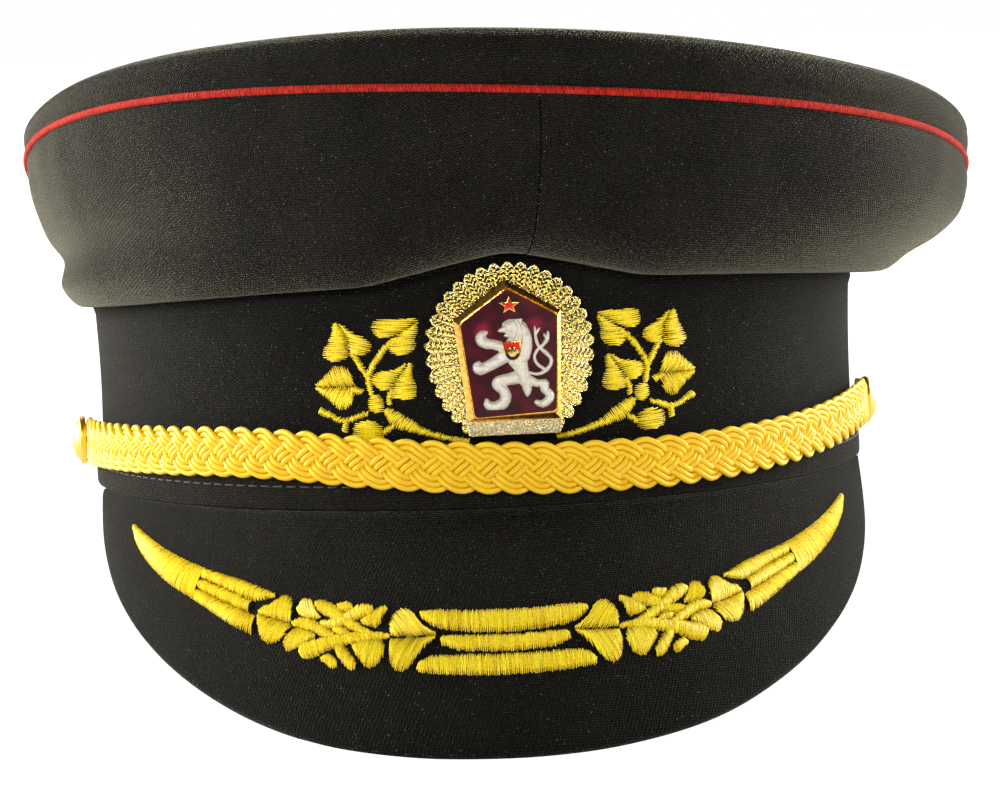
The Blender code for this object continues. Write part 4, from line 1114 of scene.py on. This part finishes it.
def badgeSpot(x, z, depth):  # millimetres beside the middle and above the band's lower edge
    return Vector((x * mm, -capForm["bandLength"] / 2 - capForm["gap"] - depth, z * mm))


def buildWreath():
    b = badgeForm
    half, up = b["width"] / 2, b["height"] / 2
    down, last = up * 1.16, pi - 0.535
    columns = b["lobes"] * b["lobeSteps"]
    rows = []

    def spot(share, i, depth):
        a = mix(-last, last, i / columns)
        w = (i / b["lobeSteps"]) % 1.0 * 2 - 1
        size = share * (1 - b["scallop"] / half * abs(w) ** 2.2)
        tall = up if cos(a) > 0 else down
        x, z = half * size * sin(a), max(tall * size * cos(a), -up * min(share + 0.02, 1.0))
        bow = b["bow"] * (x / half) ** 2
        return Vector((x, -capForm["bandLength"] / 2 - capForm["gap"] - depth + bow, badgeMiddle + z))
    for n in range(b["rings"] + 1):
        share = mix(0.45, 0.985, n / b["rings"])
        row = []
        for i in range(columns + 1):
            w = (i / b["lobeSteps"]) % 1.0 * 2 - 1
            rise = b["back"] + b["relief"] * mix(0.95, 0.15, smooth(0.72, 1.0, share))
            rib = b["rib"] * (1 - abs(w) ** 1.6) * smooth(0.3, 0.6, share)
            along = (share * half / b["chevronPitch"] - abs(w) * b["slant"]) % 1.0
            cut = b["chevron"] * (along if along < 0.72 else (1 - along) / 0.28 * 0.72)
            cut *= 1 - 0.6 * smooth(0.96, 0.985, share)
            row.append(spot(share, i, rise + rib - cut))
        rows.append(row)
    rows.append([spot(1.0, i, b["back"] * 0.6) for i in range(columns + 1)])
    rows.append([spot(0.97, i, 0.0) for i in range(columns + 1)])
    rows.append([spot(0.45, i, 0.0) for i in range(columns + 1)])
    mesh = woven("wreath", [(rows, lambda i, j: (j * 0.3, i * 0.16), True, True, None)], 35)
    piece("badgeWreath", mesh, "paleGilt", "gilt", "badge_wreath")


def insetCorners(corners, inset, bend, steps=5):  # an outline drawn in, with its corners rounded
    spots = [Vector(c) for c in corners]
    area = sum(p.x * q.y - q.x * p.y for p, q in zip(spots, spots[1:] + spots[:1]))
    sign = 1 if area > 0 else -1
    lines = []
    for p, q in zip(spots, spots[1:] + spots[:1]):
        way = (q - p).normalized()
        lines.append((p + Vector((-way.y, way.x)) * sign * inset, way))
    drawn = []
    for n in range(len(spots)):
        (p, u), (q, v) = lines[n - 1], lines[n]
        cross = u.x * v.y - u.y * v.x
        t = ((q - p).x * v.y - (q - p).y * v.x) / cross
        corner = p + u * t
        a, b = corner - u * bend, corner + v * bend
        for s in range(steps + 1):
            drawn.append(a.lerp(corner, s / steps).lerp(corner.lerp(b, s / steps), s / steps))
    return drawn


def layered(name, levels, finishName, slot, *nodes, sharp=30):  # a plate from outlines at rising depths
    rows = [[badgeSpot(p[0], p[1], depth) for p in outline] for outline, depth in levels]

    def uvOf(i, j):
        return tuple(levels[i][0][j % len(rows[0])])[:2]
    piece(name, woven(name, [(rows, uvOf, True, False, 0.0)], sharp), finishName, slot, *nodes)


def buildShield():
    corners, top = badgeForm["frameCorners"], shieldFront
    foot = insetCorners(badgeForm["footCorners"], 0.0, 0.6)
    face = insetCorners(badgeForm["footCorners"], 0.18, 0.5)
    layered("badgeFoot", [(foot, badgeForm["back"] + 0.0002), (foot, shieldBack + 0.0005),
                          (face, shieldBack + 0.0007)], "stipple", "gilt")
    inner = badgeForm["fieldCorners"]
    steps = [(0.0, shieldBack), (0.0, top - 0.0009), (0.08, top - 0.00078), (0.74, top - 0.0001),
             (0.8, top - 0.00018), (0.86, top - 0.00002), (0.94, top + 0.00002), (1.0, top - 0.0001),
             (1.02, top - 0.0005)]
    rows = []
    for share, depth in steps:
        between = [(mix(a, c, share), mix(b, d, share)) for (a, b), (c, d) in zip(corners, inner)]
        rows.append((insetCorners(between, 0.0, 0.25 + 0.6 * share), depth))
    layered("badgeFrame", rows, "gilt", "gilt", "badge_shield", sharp=25)
    dome = []
    for k in range(9):
        share = k / 9
        outline = [tuple(p) for p in insetCorners(inner, 0.02, 0.85)]
        dome.append((shrunk(outline, 1 - share), top - 0.00028 + 0.00030 * (1 - (1 - share) ** 2)))
    layered("badgeField", [(dome[0][0], top - 0.0006)] + dome, "enamel", "enamel", "badge_enamel", sharp=60)


lionForm = {
    "height": 0.86,
    "round": 0.72,
    "cell": 0.11,
    "limbs": {  # beside, above and width of points along each
        "head": [(-0.19, 35.3, 2.9), (1.19, 35.4, 3), (0.6, 34, 2.6)],
        "brow": [(-1.3, 35.9, 0.8), (-0.2, 36.5, 0.8), (1.9, 36.7, 0.9)],
        "snout": [(-0.3, 35.2, 1.6), (-1.2, 34.95, 1.3), (-2.1, 34.75, 0.7), (-2.4, 34.7, 0.3)],
        "jaw": [(0.3, 33.9, 1.4), (-0.4, 33.7, 1), (-1.15, 33.75, 0.6)],
        "throat": [(0.2, 33.5, 1.4), (0.9, 32.9, 1.6)],
        "neck": [(2, 35.1, 2.5), (2.71, 33.2, 2.6), (2.75, 31.24, 2.6), (2.35, 29.6, 2.4)],
        "chest": [(0.64, 31.5, 4.1), (0.85, 29.6, 4.1), (1.6, 27.65, 3), (2.05, 26, 2.6), (2.5, 24.7, 2.5)],
        "tuft": [(2.65, 24.3, 2.2), (2.8, 22.96, 1.6), (2.7, 21.8, 0.35)],
        "armHigh": [(-1.4, 31.3, 2.2), (-3.3, 32.05, 1.95), (-4.85, 32.35, 2.1), (-5.85, 33.1, 2.1),
                    (-5.7, 34, 1.7), (-4.9, 34.45, 0.8)],
        "armLow": [(-1.2, 29.8, 2.7), (-3.2, 28.65, 2.35), (-4.9, 27.8, 2.15), (-6.3, 27.4, 2.15),
                   (-6.95, 27.85, 1.6), (-6.55, 28.5, 0.9)],
        "legLeft": [(1.4, 25.6, 2.8), (-0.7, 25.2, 2.35), (-2.7, 24.9, 2.1), (-3.1, 24.2, 2), (-2, 23.2, 2),
                    (-1.5, 21.85, 2.1), (-2.15, 20.5, 2.1), (-3.65, 19.95, 1.95), (-4.9, 20.25, 1.6),
                    (-5.3, 21.1, 0.9)],
        "legRight": [(3, 24.95, 2), (4.7, 24.15, 1.5), (6.3, 24.1, 1.45), (6.1, 23.1, 1.6),
                     (7.15, 21.85, 1.6), (6.9, 20.95, 1.6), (5.75, 20.1, 1.4), (4.5, 20.45, 0.9)],
        "tail": [(3.07, 26.41, 0.6), (4.74, 25.96, 0.6), (6.32, 26.43, 0.64), (7.48, 27.68, 0.64),
                 (7.58, 28.97, 0.64), (6.48, 30.25, 0.64), (5.28, 31.48, 0.6), (4.79, 33.18, 0.6),
                 (4.71, 35.14, 0.34)],
        "tailTwo": [(6.15, 26.96, 0.56), (4.94, 27.9, 0.6), (4.41, 29.2, 0.6), (5, 30.62, 0.6),
                    (6.3, 31.7, 0.6), (7.07, 32.87, 0.8), (7.26, 34.09, 0.3)],
        "forkOne": [(4.79, 33.57, 0.43), (5.41, 34.63, 0.48), (5.66, 34.93, 0.19)],
        "forkTwo": [(6.97, 32.71, 0.43), (6.61, 33.35, 0.38), (6.43, 33.69, 0.19)],
    },
    "furrows": [  # carved lines: points and half width
        ([(0.9, 36.4), (1.25, 35.2), (0.9, 33.6), (0.5, 33)], 0.16),
        ([(1.75, 36.5), (2.1, 34.9), (1.9, 33), (1.75, 31.6)], 0.14),
        ([(-1.3, 34.45), (-0.3, 34.5), (0.2, 34.3)], 0.12),
        ([(-6.9, 33.6), (-6.3, 33.7)], 0.1),
        ([(-7.6, 28.2), (-6.9, 28.35)], 0.1),
        ([(-5.7, 20.2), (-5.3, 20.9)], 0.1),
        ([(2.5, 27.6), (2.75, 26.2), (2.6, 24.6), (2.2, 23)], 0.13),
        ([(0.4, 26.9), (1.3, 25.4), (1.6, 24.2)], 0.12),
        ([(-1.9, 31.1), (-0.9, 30.8)], 0.12),
    ],
}


def buildLion():
    f = lionForm
    segments, furrows = [], []
    for points in f["limbs"].values():
        line = curved(points, 4)
        segments += list(zip(line, line[1:]))
    for points, wide in f["furrows"]:
        line = curved(points, 4)
        furrows += [(p, q, wide) for p, q in zip(line, line[1:])]

    def nearest(x, z, p, q):
        dx, dz = q[0] - p[0], q[1] - p[1]
        t = min(max(((x - p[0]) * dx + (z - p[1]) * dz) / max(dx * dx + dz * dz, 1e-9), 0.0), 1.0)
        return hypot(x - p[0] - dx * t, z - p[1] - dz * t), t

    def rise(x, z):
        best = 0.0
        for p, q in segments:
            reach = max(p[2], q[2]) / 2
            if abs(p[0] + q[0] - 2 * x) > abs(p[0] - q[0]) + 2 * reach or \
                    abs(p[1] + q[1] - 2 * z) > abs(p[1] - q[1]) + 2 * reach:
                continue
            d, t = nearest(x, z, p, q)
            w = mix(p[2], q[2], t) / 2
            if d < w:
                best = max(best, (1 - (d / w) ** 2) ** f["round"] * f["height"] * min(1.25, 0.15 + 0.85 * w))
        if best > 0:
            for p, q, wide in furrows:
                d, t = nearest(x, z, p, q)
                best -= 0.20 * exp(-(d / wide) ** 2) * min(best * 2, 1)
            best = max(best, 0.02) * (1 + 0.22 * noise.noise(Vector((x * 1.3, z * 1.3, 0))))
        return best
    cell, left, low = f["cell"], -8.2, 19.3
    wide, high = int(16.6 / cell), int(17.8 / cell)
    heights = [[rise(left + i * cell, low + j * cell) for i in range(wide)] for j in range(high)]
    verts, faces, index = [], [], {}

    def corner(i, j):
        if (i, j) not in index:
            index[i, j] = len(verts)
            depth = shieldFront - 0.00012 + heights[j][i] * mm
            verts.append(restPlace @ badgeSpot(left + i * cell, low + j * cell, depth))
        return index[i, j]
    for j in range(high - 1):
        for i in range(wide - 1):
            around = (heights[j][i], heights[j][i + 1], heights[j + 1][i + 1], heights[j + 1][i])
            if max(around) > 0:
                faces.append((corner(i, j), corner(i + 1, j), corner(i + 1, j + 1), corner(i, j + 1)))
    mesh = bpy.data.meshes.new("lion")
    mesh.from_pydata(verts, [], faces)
    layer = mesh.uv_layers.new(name="run")
    for loop in mesh.loops:
        p = mesh.vertices[loop.vertex_index].co
        layer.data[loop.index].uv = (p.x / mm, p.z / mm)
    mesh.shade_smooth()
    made = piece("badgeLion", mesh, "silver", "silver", "badge_lion")
    thick = made.modifiers.new("back", "SOLIDIFY")
    thick.thickness, thick.offset = 0.00006, -1


def buildFigures():
    b, top = badgeForm, shieldFront
    cx, cz = b["starAt"]
    def starRows(size, high):
        wide, tall = (s * size for s in b["starSize"])
        turns = [(i * pi / 5, 0.42 if i % 2 else 1.0) for i in range(10)]
        outline = [(cx + wide * far * sin(turn), cz + tall * far * cos(turn)) for turn, far in turns]
        rises = ((1.0, -0.0003), (1.0, high - 0.0001), (0.8, high), (0.4, high + 0.00006),
                 (0.05, high + 0.0001))
        return [(shrunk(outline, share), top + rise) for share, rise in rises]
    layered("badgeStarEdge", starRows(1.0, 0.0003), "gilt", "gilt")
    layered("badgeStar", starRows(0.78, 0.00038), "red", "red", "badge_star")
    chest = b["chestCorners"]
    base = top + 0.0006
    edge = [(chest, base - 0.0004), (chest, base + 0.0003), (shrunk(chest, 0.93), base + 0.00036)]
    layered("chestShield", edge, "gilt", "gilt", "badge_chest_shield")
    inner = b["chestInner"]
    face = [(inner, base), (inner, base + 0.00046), (shrunk(inner, 0.85), base + 0.0005)]
    layered("chestRed", face, "red", "red")
    arc = []
    for reach, turns in ((1.42, range(100, 266, 11)), (0.80, range(265, 99, -11))):
        arc += [(0.1 + reach * sin(radians(d)), 30.35 + reach * cos(radians(d))) for d in turns]
    layered("chestArc", [(arc, base), (arc, base + 0.00046)], "blue", "red")
    flame = b["chestFlame"]
    face = [(flame, base), (flame, base + 0.00056), (shrunk(flame, 0.6), base + 0.00068)]
    layered("chestFlame", face, "gilt", "gilt")


buildWreath()
buildShield()
buildLion()
buildFigures()
print("badge built")


# Floor, lights and camera

studio = {
    "floor": tone(0.25, 0.25, 0.25), "floorGlow": 0.93, "floorEnds": (4, -4, 1.2),
    "sky": 1.0, "skyLight": 0.06,
    # name: where, what it points at, size, watts, colour
    "lamps": {
        "key": ((-0.50, -1.05, 0.80), (0, -0.05, 0.05), 0.26, 7.4, (1.0, 0.99, 0.97)),
        "fill": ((0.55, -1.15, 0.50), (0, -0.05, 0.05), 0.26, 4.0, (1.0, 0.99, 0.97)),
        "sideLeft": ((-1.10, 0.42, 0.25), (0, 0, 0.08), 0.90, 41.0, (1.0, 1.0, 0.97)),
        "sideRight": ((1.12, 0.38, 0.25), (0, 0, 0.08), 0.90, 30.0, (1.0, 1.0, 0.97)),
        "behind": ((0.0, 1.3, 0.8), (0, 0, 0.1), 0.90, 6.0, (1.0, 1.0, 1.0)),
    },
}


def buildStudio():
    mesh = bpy.data.meshes.new("floor")
    wide, near, far = studio["floorEnds"]
    mesh.from_pydata([(-wide, near, 0), (wide, near, 0), (wide, far, 0), (-wide, far, 0)], [], [(0, 1, 2, 3)])
    mesh.materials.append(finish("paleFloor", {
        "Base Color": studio["floor"], "Roughness": 0.9, "Specular IOR Level": 0.1,
        "Emission Color": (1, 1, 1, 1), "Emission Strength": studio["floorGlow"]})[0])
    placed("floor", mesh)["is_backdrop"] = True
    for name, (where, aim, size, watts, colour) in studio["lamps"].items():
        lamp = bpy.data.lights.new(name, "AREA")
        lamp.shape, lamp.size, lamp.energy, lamp.color = "DISK", size, watts, colour
        made = placed(name, lamp)
        made.location = where
        made.rotation_euler = (Vector(aim) - Vector(where)).to_track_quat("-Z", "Y").to_euler()
    world = bpy.data.worlds.new("studio")
    bpy.context.scene.world = world
    world.use_nodes = True
    back = world.node_tree.nodes["Background"]
    wire = Wire(world.node_tree)
    seen = wire.add("LightPath")
    strength = seen * studio["sky"] + (1 - seen) * studio["skyLight"]
    world.node_tree.links.new(strength.socket, back.inputs["Strength"])
    back.inputs["Color"].default_value = (1, 1, 1, 1)
    bpy.context.scene.view_settings.view_transform = "Standard"


cameraPlace = {"away": 0.600, "turn": radians(-4.0), "height": 0.0565, "pitch": radians(4.0),
               "yaw": radians(-0.57), "roll": radians(-2.35), "focal": 2530.0}


def buildCamera():
    c = cameraPlace
    spot = Vector((c["away"] * sin(c["turn"]), -c["away"] * cos(c["turn"]), c["height"]))
    a = c["turn"] + c["yaw"]
    ahead = Vector((-sin(a) * cos(c["pitch"]), cos(a) * cos(c["pitch"]), -sin(c["pitch"])))
    right = ahead.cross(Vector((0, 0, 1))).normalized()
    up = right.cross(ahead)
    r, s = cos(c["roll"]), sin(c["roll"])
    right, up = right * r + up * s, up * r - right * s
    turn = restPlace.to_3x3()
    right, up, ahead = turn @ right, turn @ up, turn @ ahead
    lens = bpy.data.cameras.new("camera")
    lens.sensor_width, lens.lens = 36.0, c["focal"] * 36.0 / 1000
    lens.clip_start = 0.01
    made = placed("camera", lens)
    facing = Matrix((right, up, -ahead)).transposed().to_4x4()
    made.matrix_world = Matrix.Translation(restPlace @ spot) @ facing
    bpy.context.scene.camera = made


buildStudio()
buildCamera()
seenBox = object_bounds()
boxes = {"cad": cadBox, "seen": seenBox}
{name: [list(corner) for corner in box] for name, box in boxes.items()}
print("studio set")
